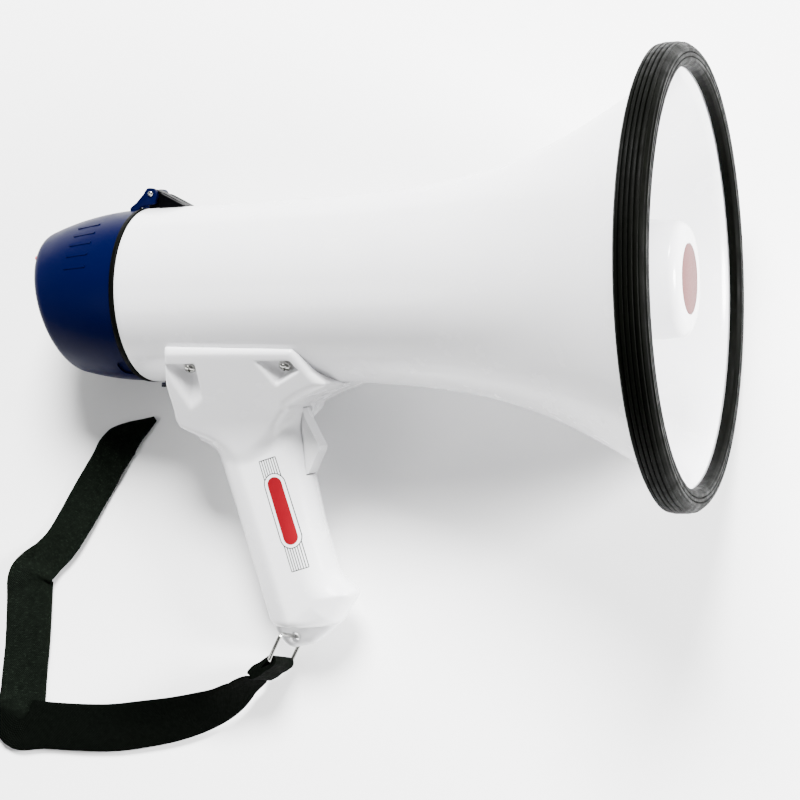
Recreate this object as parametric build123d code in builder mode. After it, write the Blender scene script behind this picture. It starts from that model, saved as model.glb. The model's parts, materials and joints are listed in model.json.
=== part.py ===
"""Handheld megaphone with a rear control panel, pistol grip, music keys and wrist strap.

The pieces are drawn about the horn: +X runs along the horn's axis to the mouth, from the
plane where the rear cover meets the body, and +Z points away from the grip. The finished
pieces are then laid down together, the way the megaphone rests on a table on its side.
"""

import os
from math import acos, atan2, cos, hypot, radians, sin, tan

from build123d import *

# Horn
MOUTH_RADIUS = 115.0  # over the rubber rim
RIM_FRONT = 297.0
RIM_BACK = 282.0
BELL_END = 291.0
WALL = 2.4
BODY_RADIUS = 46.2
BELL = [
    (0, BODY_RADIUS), (74, 47.2), (114, 48.3), (154, 51.4), (193, 58.2),
    (223, 67.9), (248, 79.8), (268, 91.2), (BELL_END, 105.4),
]
THROAT_PLANE = 115.0
PLUG_FACE = 292.0
PLUG_RADIUS = 28.5

# Rear cover
COVER_RADIUS = 45.9
COVER_DEPTH = 53.0
COVER_BULGE = 152.0  # radius of the arc along the cover's side
COVER_FRONT = -2.8
COVER_WALL = 2.4
FACE_TILT = 13.5  # the panel leans towards the grip
FACE_EDGE = 8.0
LABEL_RADIUS = 32.0
LABEL_TOP = 12.6
KEY_PITCH = 10.25
KEY_HEIGHT = 0.9
KEY_SLOT = (44.0, 10.4)
LAMP_SPOT = (21.7, 21.5)
MIC_HEIGHT = 26.3
VOLUME_HEIGHT = -16.0
VOLUME_SLOT = (33.0, 4.0)
VOLUME_START = -11.8

# Hinge, latch and screws
HINGE_PIN = (3.8, 53.6)
PIN_RADIUS = 1.2
RUNNING_GAP = 0.05
SCREW_ANGLE = 50.0  # below the horizontal, about the horn's axis
SCREW_SEAT = 49.6
SCREW_PLACES = (36.2, 89.8)
SCREW_HOLE = 2.0
SCREW_DEPTH = 9.0

# Grip
GRIP_HALF = 16.5
GRIP_EDGE = 7.0
SHELL = 3.0
TRIGGER_PIVOT = (82.5, -64.5)
TRIGGER_HALF = 9.5
LUG_HALF = 3.5
STRAP_HOLE = (78.7, -181.8)
MUSIC_PITCH = 11.5
MUSIC_DROP = 19.0
MODE_DROP = 9.0

# Strap ring and the end of the strap that goes round it
RING_BAR = Vector(0.015, 0.98, -0.201)
RING_DOWN = Vector(-0.404, -0.178, -0.897)
RING_WIDTH = 28.0
RING_CORNER = 2.0
RING_DROP = 15.3
RING_SHIFT = -7.0
WIRE_RADIUS = 1.0
LOOP_WIDTH = 22.0
LOOP_REACH = 8.8

# Strap, where it lies on the table: its points are from the middle of the megaphone's base
STRAP_WIDTH = 25.0
STRAP_THICKNESS = 2.0
NECK_RADIUS = 2.4
NECK_ROUTE = [
    (-55.0, -156.9, 16.0), (-60.8, -161.2, 12.4), (-65.5, -164.3, 6.5), (-70.5, -166.95, 2.6),
    (-77.0, -169.5, 2.6),
]
STRAP_ROUTE = [
    (-77.0, -169.5), (-91, -175), (-117.5, -182), (-144, -187), (-166, -190.5), (-182, -192),
    (-193, -181), (-193, -163), (-191.5, -138), (-190.5, -114), (-185, -98.5), (-176, -83),
    (-168, -68), (-159.7, -52.6), (-154, -39.3), (-146.5, -29.5), (-139.5, -24.5), (-132, -20.7),
]

pieces = {}


def keep(part, name):
    """Label a finished piece and add it to the megaphone."""
    part.label = name
    pieces[name] = part


def turned(outline):
    """Revolve a closed (x, radius) outline about the horn's axis."""
    with BuildPart() as piece:
        with BuildSketch(Plane.XZ):
            with BuildLine():
                Polyline(*outline, close=True)
            make_face()
        revolve(axis=Axis.X)
    return piece.part


def tube(start, end, outer, inner=0.0):
    """A round piece along the horn's axis."""
    with BuildPart() as piece:
        with BuildSketch(Plane.YZ.offset(start)):
            Circle(outer)
            if inner:
                Circle(inner, mode=Mode.SUBTRACT)
        extrude(amount=end - start)
    return piece.part


def side_plate(outline, low, high):
    """Extrude an (x, z) outline across the megaphone, from y = low to y = high."""
    with BuildPart() as piece:
        with BuildSketch(Plane.XZ.offset(-low)):
            with BuildLine():
                Polyline(*outline, close=True)
            make_face()
        extrude(amount=low - high)
    return piece.part


def wall_inside(outline, thickness):
    """Move each point of an outline towards the axis, square to the outline."""
    moved = []
    for i, (x, r) in enumerate(outline):
        before = outline[max(i - 1, 0)]
        after = outline[min(i + 1, len(outline) - 1)]
        slope = atan2(after[1] - before[1], after[0] - before[0])
        moved.append((x + thickness * sin(slope), r - thickness * cos(slope)))
    return moved


def bell_solid(outline):
    """The solid inside a flared outline."""
    (x0, r0), (x1, r1) = outline[0], outline[-1]
    with BuildPart() as piece:
        with BuildSketch(Plane.XZ):
            with BuildLine():
                Spline(*outline)
                Polyline((x1, r1), (x1, 0), (x0, 0), (x0, r0))
            make_face()
        revolve(axis=Axis.X)
    return piece.part


def radial_plane(x, radius, side):
    """A plane facing away from the axis, where a saddle screw sits."""
    angle = radians(SCREW_ANGLE)
    out = Vector(0, side * cos(angle), -sin(angle))
    return Plane(origin=Vector(x, 0, 0) + out * radius, x_dir=(1, 0, 0), z_dir=out)


def screw_places(radius):
    return [radial_plane(x, radius, side) for x in SCREW_PLACES for side in (-1, 1)]


# ------------------------------------------------------------------ horn and rim
bell_outside = bell_solid(BELL)
inside_points = wall_inside(BELL, WALL)
inside_points[0] = (-1.0, inside_points[0][1])
bell_inside = bell_solid(inside_points)

with BuildPart() as saddle_holes:
    for place in screw_places(SCREW_SEAT - SCREW_DEPTH):
        with BuildSketch(place):
            Circle(SCREW_HOLE)
        extrude(amount=SCREW_DEPTH)

with BuildPart() as horn_body:
    add(bell_outside)
    add(saddle_holes.part, mode=Mode.SUBTRACT)
    add(bell_inside, mode=Mode.SUBTRACT)
    with BuildSketch(Plane.XY.offset(-BODY_RADIUS - 2)):  # latch window
        with Locations((10.5, 0)):
            Rectangle(13, 6.4)
    extrude(amount=6, mode=Mode.SUBTRACT)
    with BuildSketch(Plane.XY.offset(-BODY_RADIUS - 2)):  # cable passage into the grip
        with Locations((62, 0)):
            Circle(5)
    extrude(amount=6, mode=Mode.SUBTRACT)
keep(horn_body.part, "horn_body")

with BuildPart() as bell_rim:
    with BuildSketch(Plane.XZ) as rim_section:
        with BuildLine():
            Polyline(
                (RIM_BACK, 98), (RIM_BACK, MOUTH_RADIUS - 2), (RIM_BACK + 2, MOUTH_RADIUS),
                (RIM_FRONT - 3, MOUTH_RADIUS), (RIM_FRONT, MOUTH_RADIUS - 3),
                (RIM_FRONT, 104.5), (RIM_FRONT - 1.5, 103), (BELL_END, 103), close=True,
            )
        make_face()
        with Locations(*[(x, MOUTH_RADIUS) for x in (285.5, 288.2, 290.9)]):
            Circle(0.7, mode=Mode.SUBTRACT)
        with Locations(*[(RIM_FRONT, r) for r in (106.8, 109.4)]):
            Circle(0.7, mode=Mode.SUBTRACT)
    revolve(axis=Axis.X)
    add(bell_outside, mode=Mode.SUBTRACT)
keep(bell_rim.part, "bell_rim")

# ------------------------------------------------- folded throat and centre reflector
keep(turned([
    (THROAT_PLANE - 3, 45.6), (THROAT_PLANE, 45.6), (THROAT_PLANE, 16), (THROAT_PLANE + 4, 13),
    (215, 16), (243, 16), (243, 13.8), (190, 12), (THROAT_PLANE - 3, 9),
]), "throat_horn")

with BuildPart() as reflector:
    with BuildSketch(Plane.XZ) as shell_section:
        with BuildLine():
            bend_start = (PLUG_FACE, PLUG_RADIUS - 7)
            bend_end = (PLUG_FACE - 7, PLUG_RADIUS)
            Line((PLUG_FACE, 0), bend_start)
            CenterArc((PLUG_FACE - 7, PLUG_RADIUS - 7), 7, 0, 90)
            Polyline(
                bend_end, (166, 36), (166, 34), (PLUG_FACE - 10, PLUG_RADIUS - 2),
                (PLUG_FACE - 3, PLUG_RADIUS - 9), (PLUG_FACE - 3, 9), (PLUG_FACE - 26, 0),
                (PLUG_FACE, 0),
            )
        make_face()
    revolve(axis=Axis.X)
    with BuildSketch(Plane.YZ.offset(226)) as vanes:  # they carry it on the throat's nose
        with PolarLocations(24.5, 3, start_angle=30):
            Rectangle(14.6, 2.6)
        Circle(18.4)
        Circle(16.05, mode=Mode.SUBTRACT)
    extrude(amount=10)
    with BuildSketch(Plane.YZ.offset(PLUG_FACE)):
        Circle(17.6)
    extrude(amount=-0.5, mode=Mode.SUBTRACT)
keep(reflector.part, "reflector")
keep(tube(PLUG_FACE - 0.5, PLUG_FACE + 0.1, 17.5), "reflector_badge")

# ------------------------------------------------------------------------ driver
keep(tube(104, 112, 37, 25), "driver_frame")
keep(turned([
    (103.4, 24), (103.4, 30), (104, 30), (104, 24.6), (108, 18), (110.6, 9), (111.6, 0),
    (110.8, 0), (109.8, 8.8), (107.2, 17.6),
]), "diaphragm")
keep(tube(93, 108.4, 12.7, 12.1), "voice_coil")
keep(tube(99.4, 103.4, 34, 13.2), "driver_top_plate")
keep(tube(85.4, 99.4, 36, 17), "driver_magnet")
with BuildPart() as driver_back_plate:
    add(tube(80.4, 85.4, 34))
    add(tube(85.4, 102.4, 11.6))
keep(driver_back_plate.part, "driver_back_plate")
with BuildPart() as driver_holes:
    with BuildSketch(Plane.YZ.offset(103.9)):
        with PolarLocations(31, 4, start_angle=45):
            Circle(1.6)
    extrude(amount=12)
for drilled in ("driver_frame", "throat_horn"):
    keep(pieces[drilled] - driver_holes.part, drilled)
with BuildPart() as driver_screws:
    with BuildSketch(Plane.YZ.offset(104.2)):
        with PolarLocations(31, 4, start_angle=45):
            Circle(1.6)
    extrude(amount=THROAT_PLANE - 104.2)
    with BuildSketch(Plane.YZ.offset(THROAT_PLANE)):
        with PolarLocations(31, 4, start_angle=45):
            Circle(3)
    extrude(amount=1.8)
keep(driver_screws.part, "driver_screws")

# ------------------------------------------------------- batteries and amplifier
CELL_RADIUS = 13.1
CELL_RING = 27.6
with BuildPart() as battery_carrier:
    add(tube(2, 4, 43.2))
    add(tube(57, 59, 43.2))
    add(tube(4, 57, 13.8))
    with BuildSketch(Plane.YZ.offset(1)):  # room for the latch's tongue
        with Locations((0, -42)):
            Rectangle(9, 9)
    extrude(amount=4, mode=Mode.SUBTRACT)
keep(battery_carrier.part, "battery_carrier")


def at_cells(start, end, radius, bore=0.0):
    """One round piece at each of the six cells."""
    with BuildPart() as piece:
        with BuildSketch(Plane.YZ.offset(start)):
            with PolarLocations(CELL_RING, 6):
                Circle(radius)
                if bore:
                    Circle(bore, mode=Mode.SUBTRACT)
        extrude(amount=end - start)
    return piece.part


keep(at_cells(5, 53, CELL_RADIUS) + at_cells(53, 54.2, 4.5), "battery_cells")
keep(at_cells(4, 5, 6), "battery_contacts")
keep(at_cells(54.2, 57, 4, 3.2), "battery_springs")
keep(tube(60, 62.4, 44.4), "battery_bulkhead")
with BuildPart() as board_spacers:
    with BuildSketch(Plane.YZ.offset(62.4)):
        with GridLocations(52, 32, 2, 2):
            Circle(2.6)
    extrude(amount=4)
keep(board_spacers.part, "board_spacers")
with BuildPart() as amplifier_board:
    with BuildSketch(Plane.YZ.offset(66.4)):
        Rectangle(60, 40)
    extrude(amount=1.6)
keep(amplifier_board.part, "amplifier_board")
with BuildPart() as amplifier_parts:
    with BuildSketch(Plane.YZ.offset(68)):
        with Locations((-18, -8), (-18, 6)):
            Circle(5)
    extrude(amount=11)
    with BuildSketch(Plane.YZ.offset(68)):  # heat sink with its fins
        with Locations((14, 14)):
            Rectangle(26, 3)
        with Locations(*[(14 + 6 * i, 7) for i in (-2, -1, 0, 1, 2)]):
            Rectangle(1.6, 12)
    extrude(amount=10)
    with BuildSketch(Plane.YZ.offset(68)):
        with Locations((14, -12)):
            Rectangle(16, 8)
    extrude(amount=3)
keep(amplifier_parts.part, "amplifier_parts")
keep(tube(-2.5, 0, 46.6, 42.2), "body_gasket")

# ------------------------------------------------------------------- rear cover
PANEL = Plane(
    origin=(-COVER_DEPTH, 0, 0), x_dir=(0, -1, 0),
    z_dir=(-cos(radians(FACE_TILT)), 0, -sin(radians(FACE_TILT))),
)


def cover_solid(inset, front, edge):
    """The cover's domed drum, cut off by the tilted panel, moved in by a wall's thickness."""
    bulge = COVER_BULGE - inset
    back = -COVER_DEPTH - 14
    arc = [(x, (bulge**2 - x**2) ** 0.5 + COVER_RADIUS - COVER_BULGE) for x in (front, -30, back)]
    with BuildPart() as piece:
        with BuildSketch(Plane.XZ):
            with BuildLine():
                ThreePointArc(*arc)
                Polyline(arc[2], (back, 0), (front, 0), arc[0])
            make_face()
        revolve(axis=Axis.X)
        split(bisect_by=PANEL.offset(-inset), keep=Keep.BOTTOM)
        fillet(piece.faces().sort_by(Axis.X)[0].edges(), edge)
    return piece.part


def label_outline(radius, top):
    """A disc with its top cut off straight, drawn in the open sketch."""
    Circle(radius)
    with Locations((0, top - radius)):
        Rectangle(2 * radius, 2 * radius, mode=Mode.INTERSECT)


def grip_ribs():
    """Two banks of five short ribs on the sides of the cover."""
    with BuildPart() as piece:
        add(tube(-46, -35, 50))
        add(cover_solid(-0.7, 0, 3), mode=Mode.INTERSECT)
        with BuildSketch(Plane.YZ.offset(-50)) as banks:
            for start in (8, 172 - 4 * 9):
                with PolarLocations(41, 5, start_angle=start, angular_range=45):
                    Rectangle(12, 1.5)
        extrude(amount=20, mode=Mode.INTERSECT)
        add(cover_solid(1.0, 0, 3), mode=Mode.SUBTRACT)
    return piece.part


BOARD_POSTS = [(x, y) for x in (-26.5, 26.5) for y in (-15, 12.5)]
with BuildPart() as rear_cover:
    add(cover_solid(0, COVER_FRONT, FACE_EDGE))
    add(cover_solid(COVER_WALL, 2, FACE_EDGE - COVER_WALL), mode=Mode.SUBTRACT)
    add(grip_ribs())
    with BuildSketch(PANEL.offset(-1)):
        with Locations(*BOARD_POSTS):
            Circle(3)
    extrude(amount=-16)
    with BuildSketch(PANEL.offset(-9)):
        with Locations(*BOARD_POSTS):
            Circle(1.1)
    extrude(amount=-10, mode=Mode.SUBTRACT)
    with BuildSketch(Plane.XZ.offset(-5)):  # pad under the latch's tongue
        with Locations((-5.9, -43.3)):
            Rectangle(6.2, 3.0)
    extrude(amount=10)
    with BuildSketch(PANEL):
        label_outline(LABEL_RADIUS + 0.3, LABEL_TOP + 0.3)
    extrude(amount=-0.8, mode=Mode.SUBTRACT)
    with BuildSketch(PANEL):
        with Locations((0, KEY_HEIGHT)):
            SlotOverall(*KEY_SLOT)
        with Locations((0, VOLUME_HEIGHT)):
            SlotOverall(*VOLUME_SLOT)
        with Locations((-LAMP_SPOT[0], LAMP_SPOT[1]), LAMP_SPOT):
            Circle(1.6)
        for row, width in enumerate((10.0, 11.8, 10.0, 5.4)):
            with Locations((0, MIC_HEIGHT - 3.6 + 2.5 * row)):
                SlotOverall(width, 0.9)
    extrude(amount=-4, mode=Mode.SUBTRACT)
    for low in (-8.0, 4.9):  # two ears carry the cover on the hinge pin
        add(side_plate(
            [(-11, 44.6), (-11, 45.4), (-7.5, 47.2), (1.4, 55.2), (6.4, 54.6), (6.8, 48.0),
             (0, 47.5), (-3, 46.4), (-3, 44.6)], low, low + 3.1,
        ))
    with BuildSketch(Plane.XZ.offset(-12)):
        with Locations(HINGE_PIN):
            Circle(3)
    extrude(amount=24)
    for low, high in ((-13, -8.0), (-4.9, 4.9), (8.0, 13)):
        with BuildSketch(Plane.XZ.offset(-low)):
            with Locations(HINGE_PIN):
                Rectangle(9, 7)
        extrude(amount=low - high, mode=Mode.SUBTRACT)
    with BuildSketch(Plane.XZ.offset(-12)):
        with Locations(HINGE_PIN):
            Circle(PIN_RADIUS + RUNNING_GAP)
    extrude(amount=24, mode=Mode.SUBTRACT)
keep(rear_cover.part, "rear_cover")

with BuildPart() as control_label:
    with BuildSketch(PANEL.offset(-0.8)):
        label_outline(LABEL_RADIUS, LABEL_TOP)
        with Locations((0, KEY_HEIGHT)):
            SlotOverall(*KEY_SLOT, mode=Mode.SUBTRACT)
        with Locations((0, VOLUME_HEIGHT)):
            SlotOverall(*VOLUME_SLOT, mode=Mode.SUBTRACT)
    extrude(amount=0.6)
keep(control_label.part, "control_label")

KEY_COLUMNS = [KEY_PITCH * (i - 1.5) for i in range(4)]
for column, name in zip(KEY_COLUMNS, ("power", "siren", "record", "play")):
    with BuildPart() as panel_key:
        with BuildSketch(PANEL.offset(-5.5)):
            with Locations((column, KEY_HEIGHT)):
                RectangleRounded(9.1, 6.8, 2.2)
        extrude(amount=10.0)
        fillet(panel_key.faces().sort_by(Axis.X)[0].edges(), 0.9)
        with BuildSketch(PANEL.offset(-5.5)):
            with Locations((column, KEY_HEIGHT)):
                Rectangle(3, 3)
        extrude(amount=-6)
    keep(panel_key.part, name + "_button")

with BuildPart() as switch_bank:
    with BuildSketch(PANEL.offset(-9)):
        with Locations((0, KEY_HEIGHT)):
            Rectangle(44, 9)
    extrude(amount=-8)
    with BuildSketch(PANEL.offset(-9)):
        with Locations(*[(column, KEY_HEIGHT) for column in KEY_COLUMNS]):
            Rectangle(3.6, 3.6)
    extrude(amount=-7, mode=Mode.SUBTRACT)
keep(switch_bank.part, "switch_bank")

with BuildPart() as volume_knob:
    with BuildSketch(PANEL.offset(-4.2)):
        with Locations((VOLUME_START, VOLUME_HEIGHT)):
            RectangleRounded(5.0, 3.3, 0.8)
    extrude(amount=5.0)
    with BuildSketch(PANEL.offset(-4.2)):
        with Locations((VOLUME_START, VOLUME_HEIGHT)):
            Rectangle(1.4, 1.8)
    extrude(amount=-4)
keep(volume_knob.part, "volume_knob")

with BuildPart() as volume_potentiometer:
    with BuildSketch(PANEL.offset(-5)):
        with Locations((0, VOLUME_HEIGHT)):
            Rectangle(36, 8)
            Rectangle(31, 2.4, mode=Mode.SUBTRACT)
    extrude(amount=-4)
    with BuildSketch(PANEL.offset(-9)):
        with Locations((0, VOLUME_HEIGHT)):
            Rectangle(36, 8)
    extrude(amount=-8)
keep(volume_potentiometer.part, "volume_potentiometer")

with BuildPart() as status_lamps:
    with BuildSketch(PANEL.offset(-6)):
        with Locations((-LAMP_SPOT[0], LAMP_SPOT[1]), LAMP_SPOT):
            Circle(1.5)
    extrude(amount=7)
keep(status_lamps.part, "status_lamps")

with BuildPart() as microphone:
    with BuildSketch(PANEL.offset(-COVER_WALL - 0.4)):
        with Locations((0, MIC_HEIGHT - 3.5)):
            Circle(4.8)
    extrude(amount=-6.5)
keep(microphone.part, "microphone")
with BuildPart() as microphone_boot:
    with BuildSketch(PANEL.offset(-COVER_WALL - 0.2)):
        with Locations((0, MIC_HEIGHT - 3.5)):
            Circle(5.8)
            Circle(4.8, mode=Mode.SUBTRACT)
    extrude(amount=-6.7)
keep(microphone_boot.part, "microphone_boot")

with BuildPart() as control_board:
    with BuildSketch(PANEL.offset(-17)):
        Rectangle(56, 42)
        with Locations(*BOARD_POSTS):
            Circle(1.3, mode=Mode.SUBTRACT)
    extrude(amount=-1.6)
keep(control_board.part, "control_board")
with BuildPart() as board_screws:
    with BuildSketch(PANEL.offset(-18.6)):
        with Locations(*BOARD_POSTS):
            Circle(2.3)
    extrude(amount=-1.6)
    with BuildSketch(PANEL.offset(-18.6)):
        with Locations(*BOARD_POSTS):
            Circle(1.1)
    extrude(amount=9)
keep(board_screws.part, "board_screws")

# ---------------------------------------------------------------- hinge and latch
with BuildPart() as hinge_bracket:
    add(side_plate([(0.9, 42), (0.9, 53), (5.0, 56.3), (22.6, 46.9), (22.6, 42)], -4.7, 4.7))
    add(side_plate([(8.6, 42), (8.6, 54.4), (22.6, 46.9), (22.6, 42)], -8, 8))
    with BuildSketch(Plane.XZ.offset(-4.7)):
        with Locations(HINGE_PIN):
            Circle(3)
    extrude(amount=9.4)
    with BuildSketch(Plane.XZ.offset(-12)):
        with Locations(HINGE_PIN):
            Circle(PIN_RADIUS)
    extrude(amount=24, mode=Mode.SUBTRACT)
    add(bell_outside, mode=Mode.SUBTRACT)
keep(hinge_bracket.part, "hinge_bracket")

with BuildPart() as hinge_pin:
    with BuildSketch(Plane.XZ.offset(-8.3)):
        with Locations(HINGE_PIN):
            Circle(PIN_RADIUS)
    extrude(amount=16.6)
    for start in (-9.2, 8.3):
        with BuildSketch(Plane.XZ.offset(start)):
            with Locations(HINGE_PIN):
                Circle(2)
        extrude(amount=0.9)
keep(hinge_pin.part, "hinge_pin")

with BuildPart() as latch_button:
    with BuildSketch(Plane.XY.offset(-49.4)):
        with Locations((10, 0)):
            RectangleRounded(8.8, 12, 1.4)
    extrude(amount=2.5)
    fillet(latch_button.faces().sort_by(Axis.Z)[0].edges(), 0.8)
    with BuildSketch(Plane.XY.offset(-47)):
        with Locations((8.5, 0)):
            Rectangle(4.2, 5.2)
    extrude(amount=8.2)
    with BuildSketch(Plane.XY.offset(-40.6)):
        with Locations((1, 0)):
            Rectangle(14, 5.2)
    extrude(amount=1.8)
keep(latch_button.part, "latch_button")
with BuildPart() as latch_spring:
    with BuildSketch(Plane.YZ.offset(14.4)):
        with Locations((0, -41.4)):
            Circle(1.7)
            Circle(1.1, mode=Mode.SUBTRACT)
    extrude(amount=5)
keep(latch_spring.part, "latch_spring")

# ------------------------------------------------------------------- pistol grip
GRIP_OUTLINE = [
    (30, -52), (27, -78), (37, -83), (48, -116), (66.5, -180), (75, -188.2), (90, -185),
    (104, -174), (115.6, -157), (104, -147), (96.5, -121), (91, -96), (87, -60), (80, -52),
]
GRIP_HOLLOW = [
    (41, -60), (41, -84), (51.5, -116), (68, -171), (88, -171), (100, -164), (107, -157),
    (99, -147), (93, -121), (87.5, -99), (75, -98), (75, -60),
]
SADDLE_SIDE = [
    (14, -27), (14, -47), (20.7, -70), (24.5, -75.5), (34, -80.5), (52, -86), (74, -76), (87, -62),
    (87.5, -59), (95, -55), (111.5, -48.8), (104, -42), (98, -30), (97, -27),
]
SADDLE_HOLLOW = [
    (17.5, -40), (17.5, -47), (23.9, -69), (27, -72.5), (36, -77), (52, -80), (75, -70), (75, -40),
]
GRIP_SCREWS = [(53, -106), (79, -164), (95, -152)]
KEY_FACE = Plane(origin=(14, 0, -47), x_dir=(0, -1, 0), z_dir=Vector(-23, 0, -6.7))
MUSIC_KEYS = {
    "mode_button": (6.3, -MODE_DROP, 3.0),
    "previous_button": (-MUSIC_PITCH, -MUSIC_DROP, 4.4),
    "pause_button": (0, -MUSIC_DROP, 4.4),
    "next_button": (MUSIC_PITCH, -MUSIC_DROP, 4.4),
}
MUSIC_LAMP = (-6.3, -MODE_DROP)


def saddle():
    """The wide top of the grip that fits the horn: three outlines, cut through each other."""
    with BuildPart() as piece:
        add(side_plate(SADDLE_SIDE, -45, 45))
        with BuildSketch(Plane.YZ):
            with BuildLine():
                half = [(41, -26), (40, -36), (17, -82), (14, -90)]
                Polyline(*half, *[(-y, z) for y, z in reversed(half)], close=True)
            make_face()
        extrude(amount=120, mode=Mode.INTERSECT)
        with BuildSketch(Plane.XY.offset(-95)):
            with BuildLine():
                half = [(13, 22), (22, 41.5), (98, 41.5), (112, 30)]
                Polyline(*half, *[(x, -y) for x, y in reversed(half)], close=True)
            make_face()
        extrude(amount=80, mode=Mode.INTERSECT)
    return piece.part


def saddle_hollow():
    """The room inside the saddle, narrowing towards the grip as its outside does."""
    with BuildPart() as piece:
        add(side_plate(SADDLE_HOLLOW, -24, 24))
        with BuildSketch(Plane.YZ):
            with BuildLine():
                half = [(24, -38), (24, -61), (13.5, -82)]
                Polyline(*half, *[(-y, z) for y, z in reversed(half)], close=True)
            make_face()
        extrude(amount=120, mode=Mode.INTERSECT)
    return piece.part


def across(x, z, radius, low, high):
    """A round bar across the megaphone."""
    with BuildPart() as piece:
        with BuildSketch(Plane.XZ.offset(-low)):
            with Locations((x, z)):
                Circle(radius)
        extrude(amount=low - high)
    return piece.part


def screw_pockets():
    """Four hollows that let the saddle screws sit close to the horn."""
    with BuildPart() as piece:
        for side in (-1, 1):
            for x, outline in (
                (SCREW_PLACES[0], [(-13, 5), (4.5, 5), (6, -7), (-9, -7)]),
                (SCREW_PLACES[1], [(-13, 5.5), (6, 5.5), (10, -4), (-4, -7), (-9, -7)]),
            ):
                with BuildSketch(radial_plane(x, SCREW_SEAT, side)):
                    with BuildLine():
                        Polyline(*[(u, -side * v) for u, v in outline], close=True)
                    make_face()
                extrude(amount=18)
    return piece.part


with BuildPart() as grip:
    add(side_plate(GRIP_OUTLINE, -GRIP_HALF, GRIP_HALF))
    chamfer(grip.faces().filter_by(Axis.Y).edges(), GRIP_EDGE * 0.7)
    add(saddle())
    add(bell_outside, mode=Mode.SUBTRACT)
    add(side_plate(GRIP_HOLLOW, -GRIP_HALF + SHELL, GRIP_HALF - SHELL), mode=Mode.SUBTRACT)
    add(saddle_hollow(), mode=Mode.SUBTRACT)
    add(screw_pockets(), mode=Mode.SUBTRACT)
    add(saddle_holes.part, mode=Mode.SUBTRACT)
    for low, high in ((-20, -LUG_HALF), (LUG_HALF, 20)):  # the grip thins to a lug
        add(side_plate([(55, -175.3), (91, -175.3), (91, -195), (55, -195)], low, high),
            mode=Mode.SUBTRACT)
    add(across(*STRAP_HOLE, 2.5, -20, 20), mode=Mode.SUBTRACT)
    add(side_plate([(75, -59.9), (75, -97.6), (101, -97.6), (101, -59.9)], -9.9, 9.9),
        mode=Mode.SUBTRACT)
    add(side_plate([(62, -80), (62, -92), (71, -92), (71, -80)], 3.2, 14))
    add(side_plate([(2, -45), (2, -51.6), (19.5, -51.6), (19.5, -45)], -6.9, 6.9),
        mode=Mode.SUBTRACT)
    for x, z in GRIP_SCREWS:
        add(across(x, z, 4, -14, 14))
        add(across(x, z, 1.55, -9.5, 20), mode=Mode.SUBTRACT)
        add(across(x, z, 3.6, 9, 20), mode=Mode.SUBTRACT)
    add(across(*TRIGGER_PIVOT, 1.5, -14, 14), mode=Mode.SUBTRACT)
    with BuildSketch(KEY_FACE):
        for u, v, radius in MUSIC_KEYS.values():
            with Locations((u, v)):
                Circle(radius + 0.3)
        with Locations(MUSIC_LAMP):
            Circle(1.5)
    extrude(amount=-6, mode=Mode.SUBTRACT)

for keep_side, name in ((Keep.TOP, "handle_left"), (Keep.BOTTOM, "handle_right")):
    keep(split(grip.part, bisect_by=Plane.XZ, keep=keep_side), name)

with BuildPart() as saddle_screws:
    for place in screw_places(SCREW_SEAT + 0.8):
        with BuildSketch(place):
            Circle(3.5)
        extrude(amount=2.1)
        with BuildSketch(place):
            Circle(1.9)
        extrude(amount=-6.8)
    for place in screw_places(SCREW_SEAT + 2.9):
        with BuildSketch(place):
            Rectangle(4.4, 0.9)
            Rectangle(0.9, 4.4)
        extrude(amount=-1.1, mode=Mode.SUBTRACT)
keep(saddle_screws.part, "saddle_screws")
with BuildPart() as saddle_washers:
    for place in screw_places(SCREW_SEAT):
        with BuildSketch(place):
            Circle(4.5)
            Circle(SCREW_HOLE, mode=Mode.SUBTRACT)
        extrude(amount=0.8)
keep(saddle_washers.part, "saddle_washers")
with BuildPart() as handle_screws:
    for x, z in GRIP_SCREWS:
        add(across(x, z, 1.5, -9, 9))
        add(across(x, z, 3.3, 9, 11.2))
keep(handle_screws.part, "handle_screws")

# ---------------------------------------------------------------- trigger and keys
with BuildPart() as trigger:
    add(side_plate(
        [(80, -60.9), (87.3, -60.9), (98.2, -82), (92, -95.4), (84.5, -95.4), (79.2, -68)],
        -TRIGGER_HALF, TRIGGER_HALF,
    ))
    add(across(*TRIGGER_PIVOT, 5, -3.2, 3.2), mode=Mode.SUBTRACT)
    add(across(*TRIGGER_PIVOT, 1.5 + RUNNING_GAP, -12, 12), mode=Mode.SUBTRACT)
keep(trigger.part, "trigger")
keep(across(*TRIGGER_PIVOT, 1.5, -13.8, 13.8), "trigger_pin")
with BuildPart() as trigger_spring:
    add(across(*TRIGGER_PIVOT, 3.4, -2.6, 2.6))
    add(side_plate([(73, -63.9), (73, -65.1), (80.5, -65.1), (80.5, -63.9)], -0.6, 0.6))
    add(across(*TRIGGER_PIVOT, 1.9, -5, 5), mode=Mode.SUBTRACT)
keep(trigger_spring.part, "trigger_spring")
with BuildPart() as trigger_switch:
    add(side_plate([(62, -94), (71, -94), (71, -78), (62, -78)], -3.2, 3.2))
    add(side_plate([(71, -88), (73, -88), (73, -84), (71, -84)], -1.5, 1.5))
keep(trigger_switch.part, "trigger_switch")

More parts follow.
